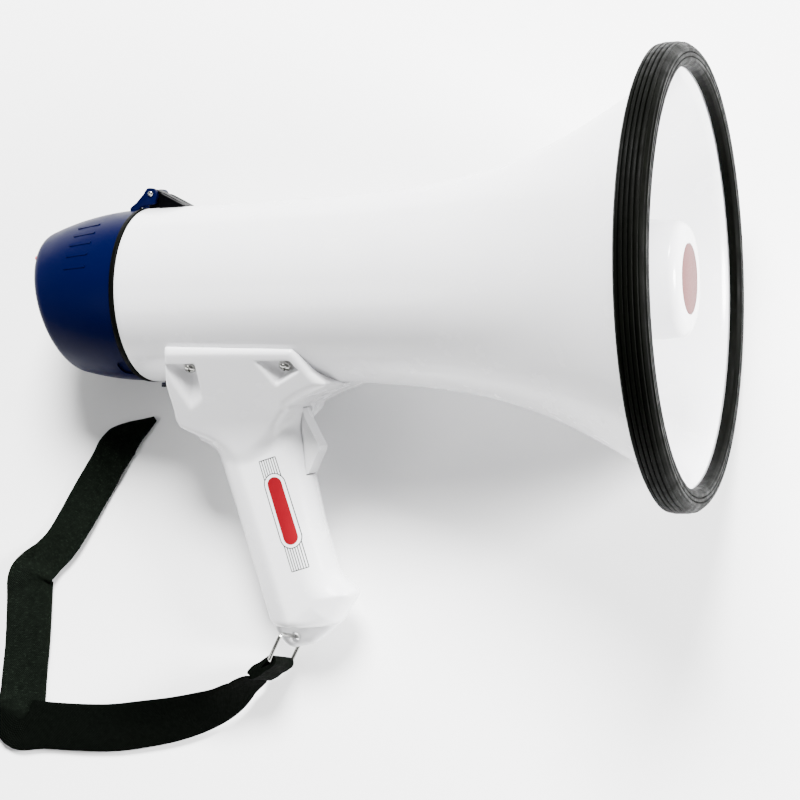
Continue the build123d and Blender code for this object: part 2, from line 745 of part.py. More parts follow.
for name, (u, v, radius) in MUSIC_KEYS.items():
    with BuildPart() as music_key:
        with BuildSketch(KEY_FACE.offset(-4.5)):
            with Locations((u, v)):
                Circle(radius)
        extrude(amount=5.3)
        fillet(music_key.faces().sort_by(Axis.X)[0].edges(), 0.5)
        with BuildSketch(KEY_FACE.offset(-3.6)):
            with Locations((u, v)):
                Circle(radius + 1)
        extrude(amount=-0.9)
    keep(music_key.part, name)
with BuildPart() as music_board:
    with BuildSketch(KEY_FACE.offset(-6.8)):
        with Locations((0, -14.5)):
            Rectangle(36, 19)
    extrude(amount=-1.6)
    with BuildSketch(KEY_FACE.offset(-6.8)):
        for u, v, radius in MUSIC_KEYS.values():
            with Locations((u, v)):
                Circle(2.2)
    extrude(amount=1.2)
keep(music_board.part, "music_board")
with BuildPart() as music_lamp:
    with BuildSketch(KEY_FACE.offset(-6.8)):
        with Locations(MUSIC_LAMP):
            Circle(1.5)
    extrude(amount=7.1)
keep(music_lamp.part, "music_lamp")

# -------------------------------------------------------------- strap ring and loop
HOLE = Vector(STRAP_HOLE[0], 0, STRAP_HOLE[1]) + RING_BAR * RING_SHIFT
RING_PLANE = Plane(origin=HOLE, x_dir=RING_BAR, z_dir=RING_BAR.cross(RING_DOWN))
with BuildPart() as strap_ring:
    with BuildLine(RING_PLANE) as wire:
        half = RING_WIDTH / 2
        FilletPolyline(
            (-half, 0), (half, 0), (half, RING_DROP), (-half, RING_DROP), close=True,
            radius=RING_CORNER,
        )
    with BuildSketch(Plane(origin=wire.line @ 0, z_dir=wire.line % 0)):
        Circle(WIRE_RADIUS)
    sweep()
keep(strap_ring.part, "strap_ring")

LOOP_DIRECTION = (RING_DOWN * cos(radians(30)) + RING_BAR.cross(RING_DOWN) * sin(radians(30)))
LOOP_PLANE = Plane(
    origin=HOLE + RING_DOWN * RING_DROP - RING_BAR * (LOOP_WIDTH / 2),
    x_dir=LOOP_DIRECTION, z_dir=RING_BAR,
)
with BuildPart() as strap_loop:
    with BuildSketch(LOOP_PLANE):
        Circle(3.2)
        with Locations((LOOP_REACH / 2, 0)):
            Rectangle(LOOP_REACH, 3.4)
        Circle(1.6, mode=Mode.SUBTRACT)
    extrude(amount=LOOP_WIDTH)
keep(strap_loop.part, "strap_loop")


# ------------------------------------------------------------------- lying at rest
def lean_angle():
    """Tilt that lets the rim and the bulging side of the cover touch one plane."""
    rim_x, rim_r, rim_edge = RIM_BACK + 2, MOUTH_RADIUS - 2, 2
    reach = rim_r + COVER_BULGE - COVER_RADIUS
    return acos((COVER_BULGE - rim_edge) / hypot(rim_x, reach)) - atan2(rim_x, reach)


LEAN = lean_angle()
AXIS_DROP = (COVER_BULGE - COVER_RADIUS) * cos(LEAN) - COVER_BULGE


def roll_angle(x, y, z, radius):
    """Roll about the horn that brings the grip's rounded lower corner down to that plane."""
    lift = (sin(LEAN) * x - radius - AXIS_DROP) / cos(LEAN)
    return atan2(-z, y) - acos(lift / hypot(y, z))


ROLL = roll_angle(70.2, GRIP_HALF, -175.3, 0)
UP = Vector(sin(LEAN), -cos(LEAN) * cos(ROLL), cos(LEAN) * sin(ROLL))
TABLE = Plane(origin=(0, 0, 0), x_dir=Vector(1, 0, 0) - UP * UP.X, z_dir=UP)
laid = {name: piece.moved(TABLE.location.inverse()) for name, piece in pieces.items()}
fixed = Compound([piece for name, piece in laid.items() if name != "strap_loop"])
box = fixed.bounding_box()
to_base = Location((-box.center().X, -box.center().Y, -box.min.Z))
pieces = {name: piece.moved(to_base) for name, piece in laid.items()}


# ------------------------------------------------------------- strap on the table
def bend_radii(route):
    """At each inner point of a route, an arc as large as its two runs allow."""
    points = [Vector(*point) for point in route]
    radii = []
    for before, here, after in zip(points, points[1:], points[2:]):
        turn = radians((here - before).get_angle(after - here))
        shorter = min((here - before).length, (after - here).length)
        radii.append(0.45 * shorter / tan(turn / 2))
    return radii


print("neck radii", [round(radius, 1) for radius in bend_radii(NECK_ROUTE)])
print("strap radii", [round(radius, 1) for radius in bend_radii(STRAP_ROUTE)])

with BuildPart() as strap_neck:
    with BuildLine() as neck_path:
        FilletPolyline(*NECK_ROUTE, radius=bend_radii(NECK_ROUTE))
    with BuildSketch(Plane(origin=neck_path.line @ 0, z_dir=neck_path.line % 0)):
        Circle(NECK_RADIUS)
    sweep()
keep(strap_neck.part, "strap_neck")

with BuildPart() as wrist_strap:
    with BuildSketch():
        with BuildLine():
            FilletPolyline(*STRAP_ROUTE, radius=bend_radii(STRAP_ROUTE))
        trace(line_width=STRAP_WIDTH)
    extrude(amount=STRAP_THICKNESS)
keep(wrist_strap.part, "wrist_strap")

os.makedirs("parts", exist_ok=True)
for name, piece in pieces.items():
    piece.label = name
    export_step(piece, f"parts/{name}.step")
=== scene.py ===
"""The handheld megaphone's looks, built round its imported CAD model.

Every shape is drawn about the horn, in millimetres: +X runs along the horn's axis to the mouth,
from the plane where the rear cover meets the body, and +Z points away from the grip. Only the
strap on the table is drawn in the row frame.
"""

import json
import math

import bmesh
import bpy
import numpy as np
from mathutils import Matrix, Vector
from mathutils.bvhtree import BVHTree


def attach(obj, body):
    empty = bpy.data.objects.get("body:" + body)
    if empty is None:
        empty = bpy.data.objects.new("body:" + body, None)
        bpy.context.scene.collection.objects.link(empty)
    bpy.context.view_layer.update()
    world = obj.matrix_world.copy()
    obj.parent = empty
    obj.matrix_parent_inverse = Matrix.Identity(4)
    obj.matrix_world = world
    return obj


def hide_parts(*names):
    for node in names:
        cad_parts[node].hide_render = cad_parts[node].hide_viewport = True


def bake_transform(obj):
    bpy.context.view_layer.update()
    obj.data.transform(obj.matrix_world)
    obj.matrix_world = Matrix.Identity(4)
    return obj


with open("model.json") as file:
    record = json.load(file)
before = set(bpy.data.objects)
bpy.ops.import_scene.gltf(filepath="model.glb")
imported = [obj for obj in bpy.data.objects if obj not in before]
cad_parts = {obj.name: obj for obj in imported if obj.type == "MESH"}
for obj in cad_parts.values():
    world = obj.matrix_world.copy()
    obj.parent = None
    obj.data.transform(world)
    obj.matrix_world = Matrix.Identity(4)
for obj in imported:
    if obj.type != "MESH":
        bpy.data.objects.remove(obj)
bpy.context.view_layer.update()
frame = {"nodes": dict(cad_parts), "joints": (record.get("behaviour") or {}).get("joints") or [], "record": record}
NODES = frame["nodes"]
JOINTS = {joint["name"]: joint for joint in frame["joints"]}

MM = 0.001

# The horn's frame, found from the lid's hinge and the latch's slide
HINGE = Vector((3.8, 0, 53.6))
FORWARD = Vector(JOINTS["latch_slide"]["axis"]).normalized()
ACROSS = Vector(JOINTS["lid_hinge"]["axis"]).normalized()
TURN = Matrix((FORWARD, ACROSS, FORWARD.cross(ACROSS))).transposed()
ORIGIN = Vector(JOINTS["lid_hinge"]["pos_m"]) - TURN @ HINGE * MM
HORN = Matrix.Translation(ORIGIN) @ TURN.to_4x4()

# Horn
MOUTH_RADIUS = 115.0
RIM_FRONT = 297.0
RIM_BACK = 282.0
BELL_END = 291.0
WALL = 2.4
BELL = [
    (0, 46.2), (74, 47.2), (114, 48.3), (154, 51.4), (193, 58.2),
    (223, 67.9), (248, 79.8), (268, 91.2), (BELL_END, 105.4),
]
PLUG_FACE = 292.0
PLUG_RADIUS = 28.5

# Rear cover and its panel
COVER_DEPTH = 53.0
COVER_BULGE = 152.0
COVER_RADIUS = 45.9
COVER_FRONT = -2.8
FACE_TILT = math.radians(13.5)
FACE_EDGE = 8.0
LABEL_RADIUS = 32.0
LABEL_TOP = 12.6
KEY_HEIGHT = 0.9
KEY_PITCH = 10.25
KEY_SLOT = (44.0, 10.4)
VOLUME_HEIGHT = -16.0
VOLUME_SLOT = (33.0, 4.0)
VOLUME_START = -11.8
RIB_ANGLES = [math.radians(20 + 9.3 * index) for index in range(5)]
RIB_MIDDLE = -25.0  # along the horn
RIB_LEAN = 0.165  # how far the cover's side leans in where the ribs are
RECESS_ANGLE = math.radians(-58)
LAMP_SPOT = (21.7, 21.5)
MIC_HEIGHT = 26.3

# Grip
GRIP_HALF = 16.5
SCREW_ANGLE = math.radians(50)
SCREW_SEAT = 49.6
SCREW_PLACES = (36.2, 89.8)
LUG_HALF = 3.5
STRAP_HOLE = (78.7, -181.8)
LUG_TOP = -175.6
TRIGGER_PIVOT = (82.5, -64.5)
TRIGGER_SLOT = (75, -1, -96.2), (101, 6.2, -60.7)
MUSIC_ROOM = (2, -1, -51.6), (19.5, 6.9, -45)
GRIP_SCREWS = [(53, -106), (79, -164), (95, -152)]
MUSIC_PITCH = 11.5
MODE_DROP = 9.0
MUSIC_KEYS = {
    "mode_button": (6.3, -9.0, 3.0), "previous_button": (-11.5, -19.0, 4.4),
    "pause_button": (0, -19.0, 4.4), "next_button": (11.5, -19.0, 4.4),
}
MUSIC_LAMP = (-6.3, -9.0)

# Strap ring
RING_DOWN = Vector((-0.404, -0.178, -0.897)).normalized()
RING_WIDTH = 28.0
RING_DROP = 15.3
LOOP_WIDTH = 23.0

# The strap's route on the table, in the row frame, from the loop's end. These points aren't
# repeated from the CAD strap's route.
STRAP_ROUTE = [
    (-55.9, -159.6), (-60.8, -162.6), (-66.1, -167.6), (-73.6, -173.6), (-85.8, -178.9), (-99.3, -183.2),
    (-112.9, -186.1), (-133.5, -189.8), (-154.4, -190.5), (-171.4, -190.4), (-180.1, -190.2),
    (-185.0, -189.0), (-185.2, -183), (-186.2, -163.6), (-186.2, -149.8), (-187.0, -136),
    (-188.0, -123.4), (-188.8, -113.6), (-187.4, -107.6), (-179.5, -99), (-174.0, -92.4),
    (-168.6, -81.4), (-162.9, -68.2), (-157.8, -56.5), (-153.1, -46.2), (-148.2, -34.6),
    (-141.0, -28.0), (-134.7, -23.6), (-129.4, -19.4),
]
# How far the strap stands on its edge, by its run from the loop: 1 is upright, 0 is flat
STRAP_UPRIGHT = [(0, 1), (10, 0.97), (22, 0.84), (36, 0.66), (60, 0.38), (85, 0.08), (100, 0)]
STRAP_HALF = 12.5
STRAP_THICK = 1.5
STRAP_COLUMNS = 25
FOLD_FROM_TIP = 33.0
TIP_LENGTH = 34.0  # the stretch over which the strap narrows towards its end

# The camera, about the horn, as fitted to the photograph, and the lights, in metres in the row frame
CAMERA_RIGHT = Vector((0.93812, 0.34554, -0.02301))
CAMERA_DOWN = Vector((-0.00989, -0.03969, -0.99916))
CAMERA_PLACE = Vector((515.83, -1019.39, -21.05))
CAMERA_LENS = 95.04
SKY = 0.24
LIGHTS = [  # name, place, what it points at, diameter and power
    ("key", (-0.1, 1.25, 1.6), (0, 0, 0.1), 0.9, 225),
    ("fill", (-1.2, -0.7, 1.4), (0, 0, 0.1), 0.9, 12),
    ("mouth", (1.25, 0.0, 0.62), (0.1, 0, 0.12), 0.5, 90),
]


# ------------------------------------------------------------------------ materials
def shader(name, color, roughness, metallic=0.0, coat=0.0, specular=0.5, glow=0.0):
    """A material, a helper that adds linked nodes and one that connects them to the surface."""
    material = bpy.data.materials.new(name)
    material.use_nodes = True
    tree = material.node_tree
    surface = tree.nodes["Principled BSDF"].inputs
    surface["Base Color"].default_value = (*color, 1)
    surface["Roughness"].default_value = roughness
    surface["Metallic"].default_value = metallic
    surface["Coat Weight"].default_value = coat
    surface["Coat Roughness"].default_value = 0.08
    surface["Specular IOR Level"].default_value = specular
    if glow:
        surface["Emission Color"].default_value = (*color, 1)
        surface["Emission Strength"].default_value = glow

    def add(kind, inputs=None, **settings):
        node = tree.nodes.new(kind)
        for key, value in settings.items():
            setattr(node, key, value)
        for key, value in (inputs or {}).items():
            if isinstance(value, bpy.types.NodeSocket):
                tree.links.new(value, node.inputs[key])
            else:
                node.inputs[key].default_value = value
        return node

    def dress(tone, rough=None, height=None, strength=0.0, distance=0.0):
        tree.links.new(tone, surface["Base Color"])
        if rough is not None:
            tree.links.new(rough, surface["Roughness"])
        if height is not None:
            bump = add("ShaderNodeBump", {"Height": height, "Strength": strength, "Distance": distance})
            tree.links.new(bump.outputs["Normal"], surface["Normal"])

    return material, add, dress


def object_place(add):
    """The point on the piece, in its own frame, so that the pattern moves with it."""
    return add("ShaderNodeTexCoord").outputs["Object"]


def noise(add, place, scale, detail=3.0, roughness=0.5):
    inputs = {"Vector": place, "Scale": scale, "Detail": detail, "Roughness": roughness}
    return add("ShaderNodeTexNoise", inputs).outputs["Fac"]


def between(add, value, low, high, from_low=0.3, from_high=0.7):
    """Spread the middle of a noise over a range of values."""
    inputs = {"Value": value, "From Min": from_low, "From Max": from_high, "To Min": low, "To Max": high}
    return add("ShaderNodeMapRange", inputs).outputs["Result"]


def mixed(add, share, first, second):
    """Blend two tones by a share. Each tone is a colour or a node's output."""
    first, second = [(*tone, 1) if isinstance(tone, tuple) else tone for tone in (first, second)]
    return add("ShaderNodeMix", {"Factor": share, 6: first, 7: second}, data_type="RGBA").outputs[2]


def combined(add, operation, first, second):
    return add("ShaderNodeMath", {0: first, 1: second}, operation=operation).outputs[0]


def clouds(add, place, scale, detail, first, second):
    """A cloudy blend of two colours."""
    return mixed(add, between(add, noise(add, place, scale, detail), 0, 1), first, second)


def worn_edges(add, tone, worn, share, from_low):
    """A second tone on the edges that stick out."""
    edge = add("ShaderNodeNewGeometry").outputs["Pointiness"]
    return mixed(add, between(add, edge, 0, share, from_low, 0.56), tone, worn)


def shade(color, factor):
    return tuple(channel * factor for channel in color)


def moulded(name, color, roughness, coat=0.0, wear=0.06, peel=0.012, specular=0.5):
    """Moulded plastic: faint mottling, an uneven gloss, fine surface texture and paler edges."""
    material, add, dress = shader(name, color, roughness, coat=coat, specular=specular)
    place = object_place(add)
    tone = clouds(add, place, 14, 4, shade(color, 0.965), shade(color, 1.02))
    paler = tuple(channel + (0.85 - channel) * 0.35 for channel in color)
    gloss = between(add, noise(add, place, 55, 5, 0.6), roughness * 0.82, roughness * 1.25)
    height = combined(add, "ADD", noise(add, place, 900, 2), noise(add, place, 70, 2))
    dress(worn_edges(add, tone, paler, wear, 0.505), gloss, height, peel, 0.001)
    return material


def rubber(name, color):
    """Moulded rubber, matt, with dusty patches, paler ridges and an uneven surface."""
    material, add, dress = shader(name, color, 0.5, specular=0.02)
    place = object_place(add)
    dust = between(add, noise(add, place, 45, 6, 0.65), 0, 1, 0.48, 0.75)
    tone = worn_edges(add, mixed(add, dust, color, shade(color, 2.6)), shade(color, 4.2), 0.55, 0.5)
    rough = between(add, noise(add, place, 160, 4), 0.36, 0.62)
    dress(tone, rough, noise(add, place, 600, 4, 0.7), 0.22, 0.0006)
    return material


def metal(name, color, roughness, scratch=0.05):
    """Plated or drawn metal with fine wear marks and a slightly uneven finish."""
    material, add, dress = shader(name, color, roughness, metallic=1.0)
    place = object_place(add)
    tone = clouds(add, place, 120, 4, shade(color, 0.86), color)
    smear = between(add, noise(add, place, 380, 6, 0.7), roughness * 0.7, roughness * 1.6)
    stretched = add("ShaderNodeMapping", {"Vector": place, "Scale": (2600, 300, 2600)})
    dress(tone, smear, noise(add, stretched.outputs["Vector"], 1.0, 3), scratch, 0.0002)
    return material


def printed(name, color, roughness=0.42):
    """Ink or printed film, with the slight unevenness of print."""
    material, add, dress = shader(name, color, roughness, specular=0.08)
    place = object_place(add)
    tone = clouds(add, place, 160, 5, shade(color, 0.93), shade(color, 1.03))
    grain = noise(add, place, 1500, 2)
    dress(tone, between(add, grain, roughness * 0.85, roughness * 1.2), grain, 0.05, 0.0002)
    return material


def tinted(name, color):
    """A small lamp: tinted resin that glows faintly."""
    material, add, dress = shader(name, color, 0.12, coat=0.6, glow=0.25)
    place = object_place(add)
    tone = clouds(add, place, 700, 3, shade(color, 0.6), color)
    dress(tone, between(add, noise(add, place, 300, 2), 0.08, 0.2))
    return material


def circuit(name, color):
    """A solder-masked board with tracks under the mask."""
    material, add, dress = shader(name, color, 0.35)
    place = object_place(add)
    cells = add("ShaderNodeTexBrick", {
        "Vector": place, "Scale": 160.0, "Color1": (*color, 1), "Color2": (*shade(color, 0.8), 1),
        "Mortar": (*shade(color, 1.7), 1), "Mortar Size": 0.03,
    })
    dress(cells.outputs["Color"], between(add, noise(add, place, 200, 3), 0.28, 0.45))
    return material


def webbing(name, color):
    """Woven strap: ribs across, yarns along, lint on one face and a darker smooth face."""
    material, add, dress = shader(name, color, 0.75, specular=0.01)
    along = add("ShaderNodeAttribute", attribute_name="weave").outputs["Vector"]
    across, run, face = add("ShaderNodeSeparateXYZ", {"Vector": along}).outputs

    def wave(value, pitch):
        turns = combined(add, "MULTIPLY", value, 2 * math.pi / pitch)
        return add("ShaderNodeMath", {0: turns}, operation="SINE").outputs[0]

    crossed = combined(add, "MULTIPLY", wave(run, 0.9), wave(across, 1.25))
    cloud = noise(add, along, 0.35, 6, 0.65)
    streaks = add("ShaderNodeMapping", {"Vector": along, "Scale": (0.35, 2.2, 1)}).outputs["Vector"]
    lint = combined(add, "MULTIPLY", between(add, noise(add, streaks, 1.0, 6, 0.75), 0, 1, 0.56, 0.78), face)
    tone = mixed(add, between(add, crossed, 0, 1, -1, 1), shade(color, 0.55), shade(color, 1.5))
    tone = mixed(add, between(add, cloud, 0, 0.8, 0.35, 0.7), tone, shade(color, 0.5))
    tone = mixed(add, lint, tone, shade(color, 9.0))
    tone = mixed(add, between(add, face, 0.35, 1, 0, 1), shade(color, 0.06), tone)
    rough = between(add, cloud, 0.62, 0.85)
    dress(tone, rough, combined(add, "ADD", crossed, cloud), 0.5, 0.0004)
    return material


MATERIALS = {
    "shell_white": moulded("shell_white", (0.80, 0.80, 0.815), 0.24, coat=0.25, wear=0.0),
    "cover_blue": moulded("cover_blue", (0.0001, 0.0010, 0.019), 0.34, wear=0.0, specular=0.02),
    "key_blue": moulded("key_blue", (0.0001, 0.0008, 0.012), 0.2, wear=0.0, specular=0.1),
    "bracket_black": moulded("bracket_black", (0.0002, 0.0002, 0.0005), 0.4, wear=0.0, specular=0.02),
    "label_grey": printed("label_grey", (0.50, 0.53, 0.50)),
    "badge_salmon": printed("badge_salmon", (0.105, 0.028, 0.026)),
    "ink_black": printed("ink_black", (0.0008, 0.0008, 0.001), 0.6),
    "ink_red": printed("ink_red", (0.18, 0.0, 0.006), 0.6),
    "rubber_black": rubber("rubber_black", (0.0005, 0.0006, 0.0004)),
    "key_white": moulded("key_white", (0.76, 0.76, 0.75), 0.3, wear=0.0),
    "lamp_red": tinted("lamp_red", (0.75, 0.02, 0.015)),
    "lamp_dark": tinted("lamp_dark", (0.16, 0.13, 0.12)),
    "chrome_steel": metal("chrome_steel", (0.42, 0.42, 0.40), 0.14),
    "spring_steel": metal("spring_steel", (0.5, 0.5, 0.5), 0.28),
    "plain_steel": metal("plain_steel", (0.55, 0.55, 0.54), 0.32),
    "ferrite": moulded("ferrite", (0.03, 0.03, 0.032), 0.6, wear=0.15, peel=0.1),
    "copper": metal("copper", (0.78, 0.36, 0.2), 0.3, 0.3),
    "contact_brass": metal("contact_brass", (0.76, 0.58, 0.3), 0.25),
    "cone_film": moulded("cone_film", (0.5, 0.33, 0.12), 0.5),
    "frame_black": moulded("frame_black", (0.006, 0.006, 0.007), 0.42, wear=0.0, specular=0.3),
    "cell_wrap": moulded("cell_wrap", (0.05, 0.07, 0.09), 0.25, coat=0.3),
    "circuit_green": circuit("circuit_green", (0.02, 0.14, 0.06)),
    "part_black": moulded("part_black", (0.02, 0.02, 0.02), 0.4),
    "webbing_black": webbing("webbing_black", (0.0026, 0.0038, 0.0026)),
}


# --------------------------------------------------------------------- mesh helpers
def new_object(name, mesh, place=HORN):
    obj = bpy.data.objects.new(name, mesh)
    bpy.context.scene.collection.objects.link(obj)
    obj.matrix_world = place
    return obj


def tidy_mesh(mesh, merge=0.004 * MM):
    """Join doubled points, drop flat faces and turn every face outwards."""
    work = bmesh.new()
    work.from_mesh(mesh)
    bmesh.ops.remove_doubles(work, verts=work.verts, dist=merge)
    bmesh.ops.dissolve_degenerate(work, edges=work.edges, dist=merge)
    bmesh.ops.recalc_face_normals(work, faces=work.faces)
    work.to_mesh(mesh)
    work.free()


def build(name, points, faces, merge=0.004 * MM):
    """An object from points in millimetres about the horn."""
    mesh = bpy.data.meshes.new(name)
    mesh.from_pydata((np.asarray(points, float) * MM).tolist(), [], [tuple(face) for face in faces])
    tidy_mesh(mesh, merge)
    return new_object(name, mesh)


def finish(obj, body, slot, material=None, stands_for=(), sharp=38):
    """Shade a piece, put its place into its mesh, give it its material and let it ride on its body."""
    obj.data.materials.clear()
    obj.data.materials.append(MATERIALS[material or slot])
    obj.data.shade_smooth()
    obj.data.set_sharp_from_angle(angle=math.radians(sharp))
    obj.data.transform(obj.matrix_world)
    obj.matrix_world = Matrix()
    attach(obj, body)
    if stands_for:
        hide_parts(*stands_for)
    return obj


def applied(obj):
    """Put what the modifiers make into the mesh."""
    bpy.context.view_layer.update()
    evaluated = obj.evaluated_get(bpy.context.evaluated_depsgraph_get())
    mesh = bpy.data.meshes.new_from_object(evaluated)
    obj.modifiers.clear()
    obj.data = mesh
    return obj


def combine(target, tools, operation="DIFFERENCE"):
    """Cut, join or intersect with other closed objects, which are used up."""
    for tool in tools:
        boolean = target.modifiers.new("cut", "BOOLEAN")
        boolean.operation = operation
        boolean.solver = "EXACT"
        boolean.object = tool
    applied(target)
    for tool in tools:
        bpy.data.objects.remove(tool)
    return target


def soft_edges(obj, width, angle=40, segments=2):
    """Round every sharp edge a little."""
    bevel = obj.modifiers.new("edges", "BEVEL")
    bevel.width = width * MM
    bevel.segments = segments
    bevel.limit_method = "ANGLE"
    bevel.angle_limit = math.radians(angle)
    bevel.harden_normals = False
    return applied(obj)


def joined(name, parts):
    """One object from several."""
    work = bmesh.new()
    for part in parts:
        work.from_mesh(part.data)
        bpy.data.objects.remove(part)
    mesh = bpy.data.meshes.new(name)
    work.to_mesh(mesh)
    work.free()
    return new_object(name, mesh)


def rounded(points, radius, steps=5):
    """Round the corners of a closed outline. radius is one number, or one for each corner."""
    count = len(points)
    radii = [radius] * count if np.isscalar(radius) else radius
    outline = []
    for index, corner_radius in enumerate(radii):
        corner = Vector(points[index])
        back = Vector(points[index - 1]) - corner
        ahead = Vector(points[(index + 1) % count]) - corner
        half = back.angle(ahead) / 2
        if corner_radius < 0.01 or half > 1.55:
            outline.append(tuple(corner))
            continue
        cut = min(corner_radius / math.tan(half), 0.48 * back.length, 0.48 * ahead.length)
        back.normalize()
        ahead.normalize()
        centre = corner + (back + ahead).normalized() * (cut / math.cos(half))
        first = corner + back * cut - centre
        last = corner + ahead * cut - centre
        swing = first.angle_signed(last)
        for step in range(steps + 1):
            angle = -swing * step / steps
            cos, sin = math.cos(angle), math.sin(angle)
            outline.append((
                centre.x + first.x * cos - first.y * sin, centre.y + first.x * sin + first.y * cos,
            ))
    return outline


def slab(name, outline, place, low, high):
    """A closed 2D outline extruded between two heights of a plane."""
    count = len(outline)
    points = [place @ Vector((u, v, w)) for w in (low, high) for u, v in outline]
    faces = [tuple(range(count)), tuple(range(2 * count - 1, count - 1, -1))]
    faces += [(i, (i + 1) % count, count + (i + 1) % count, count + i) for i in range(count)]
    return build(name, points, faces)


def lathe(name, outline, segments=192):
    """Turn a closed (x, radius) outline about the horn's axis."""
    x, radius = np.array(outline, float).T
    turn = np.linspace(0, 2 * math.pi, segments, endpoint=False)[:, None]
    along = np.broadcast_to(x, (segments, len(x)))
    points = np.stack([along, radius * np.cos(turn), radius * np.sin(turn)], -1)
    return build(name, points.reshape(-1, 3), grid_faces(segments, len(x)))


def grid_faces(rows, columns, wrap_rows=True, wrap_columns=True):
    """Quads over a grid of points that may close on itself either way."""
    faces = []
    for row in range(rows if wrap_rows else rows - 1):
        after = (row + 1) % rows
        for column in range(columns if wrap_columns else columns - 1):
            beside = (column + 1) % columns
            faces.append((
                row * columns + column, row * columns + beside,
                after * columns + beside, after * columns + column,
            ))
    return faces


def disc_outline(radius, steps=48, centre=(0, 0)):
    angles = [2 * math.pi * step / steps for step in range(steps)]
    return [(centre[0] + radius * math.cos(a), centre[1] + radius * math.sin(a)) for a in angles]


def box_outline(width, height, centre=(0, 0), radius=0.0, steps=5):
    u, v = width / 2, height / 2
    corners = [(-u, -v), (u, -v), (u, v), (-u, v)]
    outline = rounded(corners, radius, steps) if radius else corners
    return [(centre[0] + a, centre[1] + b) for a, b in outline]


def pill(width, height, centre=(0, 0), steps=8):
    """A slot's outline with round ends."""
    return box_outline(width, height, centre, height / 2 * 0.999, steps)


def bar(left, low, right, high):
    return [(left, low), (right, low), (right, high), (left, high)]


def plane(origin, x_axis, normal):
    """A plane's frame: its u, v and height, about the horn."""
    z = Vector(normal).normalized()
    x = Vector(x_axis).normalized()
    turned = Matrix((x, z.cross(x), z)).transposed().to_4x4()
    return Matrix.Translation(Vector(origin)) @ turned


def spline_through(points, count):
    """A smooth curve through points, with even curvature, as many points along it as asked."""
    points = np.array(points, float)
    knots = np.concatenate([[0], np.cumsum(np.hypot(*np.diff(points, axis=0).T))])
    gaps = np.diff(knots)
    size = len(points)
    system = np.eye(size)
    sides = np.zeros((size, 2))
    for i in range(1, size - 1):
        system[i, i - 1:i + 2] = gaps[i - 1], 2 * (gaps[i - 1] + gaps[i]), gaps[i]
        slopes = np.diff(points[i - 1:i + 2], axis=0) / gaps[i - 1:i + 1, None]
        sides[i] = 6 * (slopes[1] - slopes[0])
    bends = np.linalg.solve(system, sides)
    where = np.linspace(0, knots[-1], count)
    span = np.clip(np.searchsorted(knots, where) - 1, 0, size - 2)
    gap = gaps[span][:, None]
    b = (where - knots[span])[:, None] / gap
    a = 1 - b
    lift = ((a**3 - a) * bends[span] + (b**3 - b) * bends[span + 1]) * gap**2 / 6
    return a * points[span] + b * points[span + 1] + lift


PANEL = plane((-COVER_DEPTH, 0, 0), (0, -1, 0), (-math.cos(FACE_TILT), 0, -math.sin(FACE_TILT)))
KEY_FACE = plane((14, 0, -47), (0, -1, 0), (-23, 0, -6.7))
SIDE = plane((0, 0, 0), (1, 0, 0), (0, -1, 0))  # u is x and v is z, seen from the near side


# ---------------------------------------------------------------------- horn and rim
def bell_outline():
    """The moulding's section: outer skin, rolled lip and inner skin."""
    outer = spline_through(BELL, 90)
    slope = np.gradient(outer, axis=0)
    slope /= np.hypot(*slope.T)[:, None]
    inner = outer + WALL * np.stack([slope[:, 1], -slope[:, 0]], -1)
    inner = inner[(inner[:, 0] > 1.2) & (inner[:, 0] < BELL_END - 0.4)]
    front = [(0, outer[0, 1] - 0.9), (0.25, outer[0, 1] - 0.25), (0.9, outer[0, 1])]
    outer = [tuple(point) for point in outer if point[0] > 1.5]
    back = [(0, inner[0, 1] + 0.3), (0.4, inner[0, 1])]
    return front + outer + [tuple(point) for point in inner[::-1]] + back[::-1]


def make_horn():
    finish(lathe("horn_moulding", bell_outline(), 256), "root", "shell_white", stands_for=["horn_body"])


def make_rim():
    """A thick rubber ring: five ridges round the outside, three on the front, and a lip inside."""
    outline = [(RIM_BACK, 98.6), (RIM_BACK - 0.2, 104), (RIM_BACK, MOUTH_RADIUS - 2.2)]
    for index in range(5):
        start = RIM_BACK + 0.7 + 2.3 * index
        top = MOUTH_RADIUS - (0.5 if index in (0, 4) else 0.1)
        outline += [(start, top - 0.9), (start + 0.35, top), (start + 1.75, top), (start + 2.1, top - 0.9)]
    outline += [(RIM_FRONT - 2.6, MOUTH_RADIUS - 1.1), (RIM_FRONT - 1.1, MOUTH_RADIUS - 2.3)]
    for index in range(3):
        start = MOUTH_RADIUS - 3.5 - 2.3 * index
        outline += [(RIM_FRONT - 0.7, start + 0.2), (RIM_FRONT, start - 0.2), (RIM_FRONT, start - 1.6),
                    (RIM_FRONT - 0.7, start - 2.0)]
    outline += [(RIM_FRONT - 1.0, 104.2), (RIM_FRONT - 2.2, 103.2), (BELL_END - 0.2, 102.9)]
    outline += [(BELL_END + 0.1, 103.4), (BELL_END + 0.1, 105.9), (288, 104.0), (RIM_BACK + 1, 100.4)]
    radii = [0.6] * 3 + [0.3] * (len(outline) - 10) + [0.5] * 3 + [0] * 4
    rim = lathe("rim_rubber", rounded(outline, radii, 3), 256)
    finish(rim, "root", "rubber_black", stands_for=["bell_rim"], sharp=70)


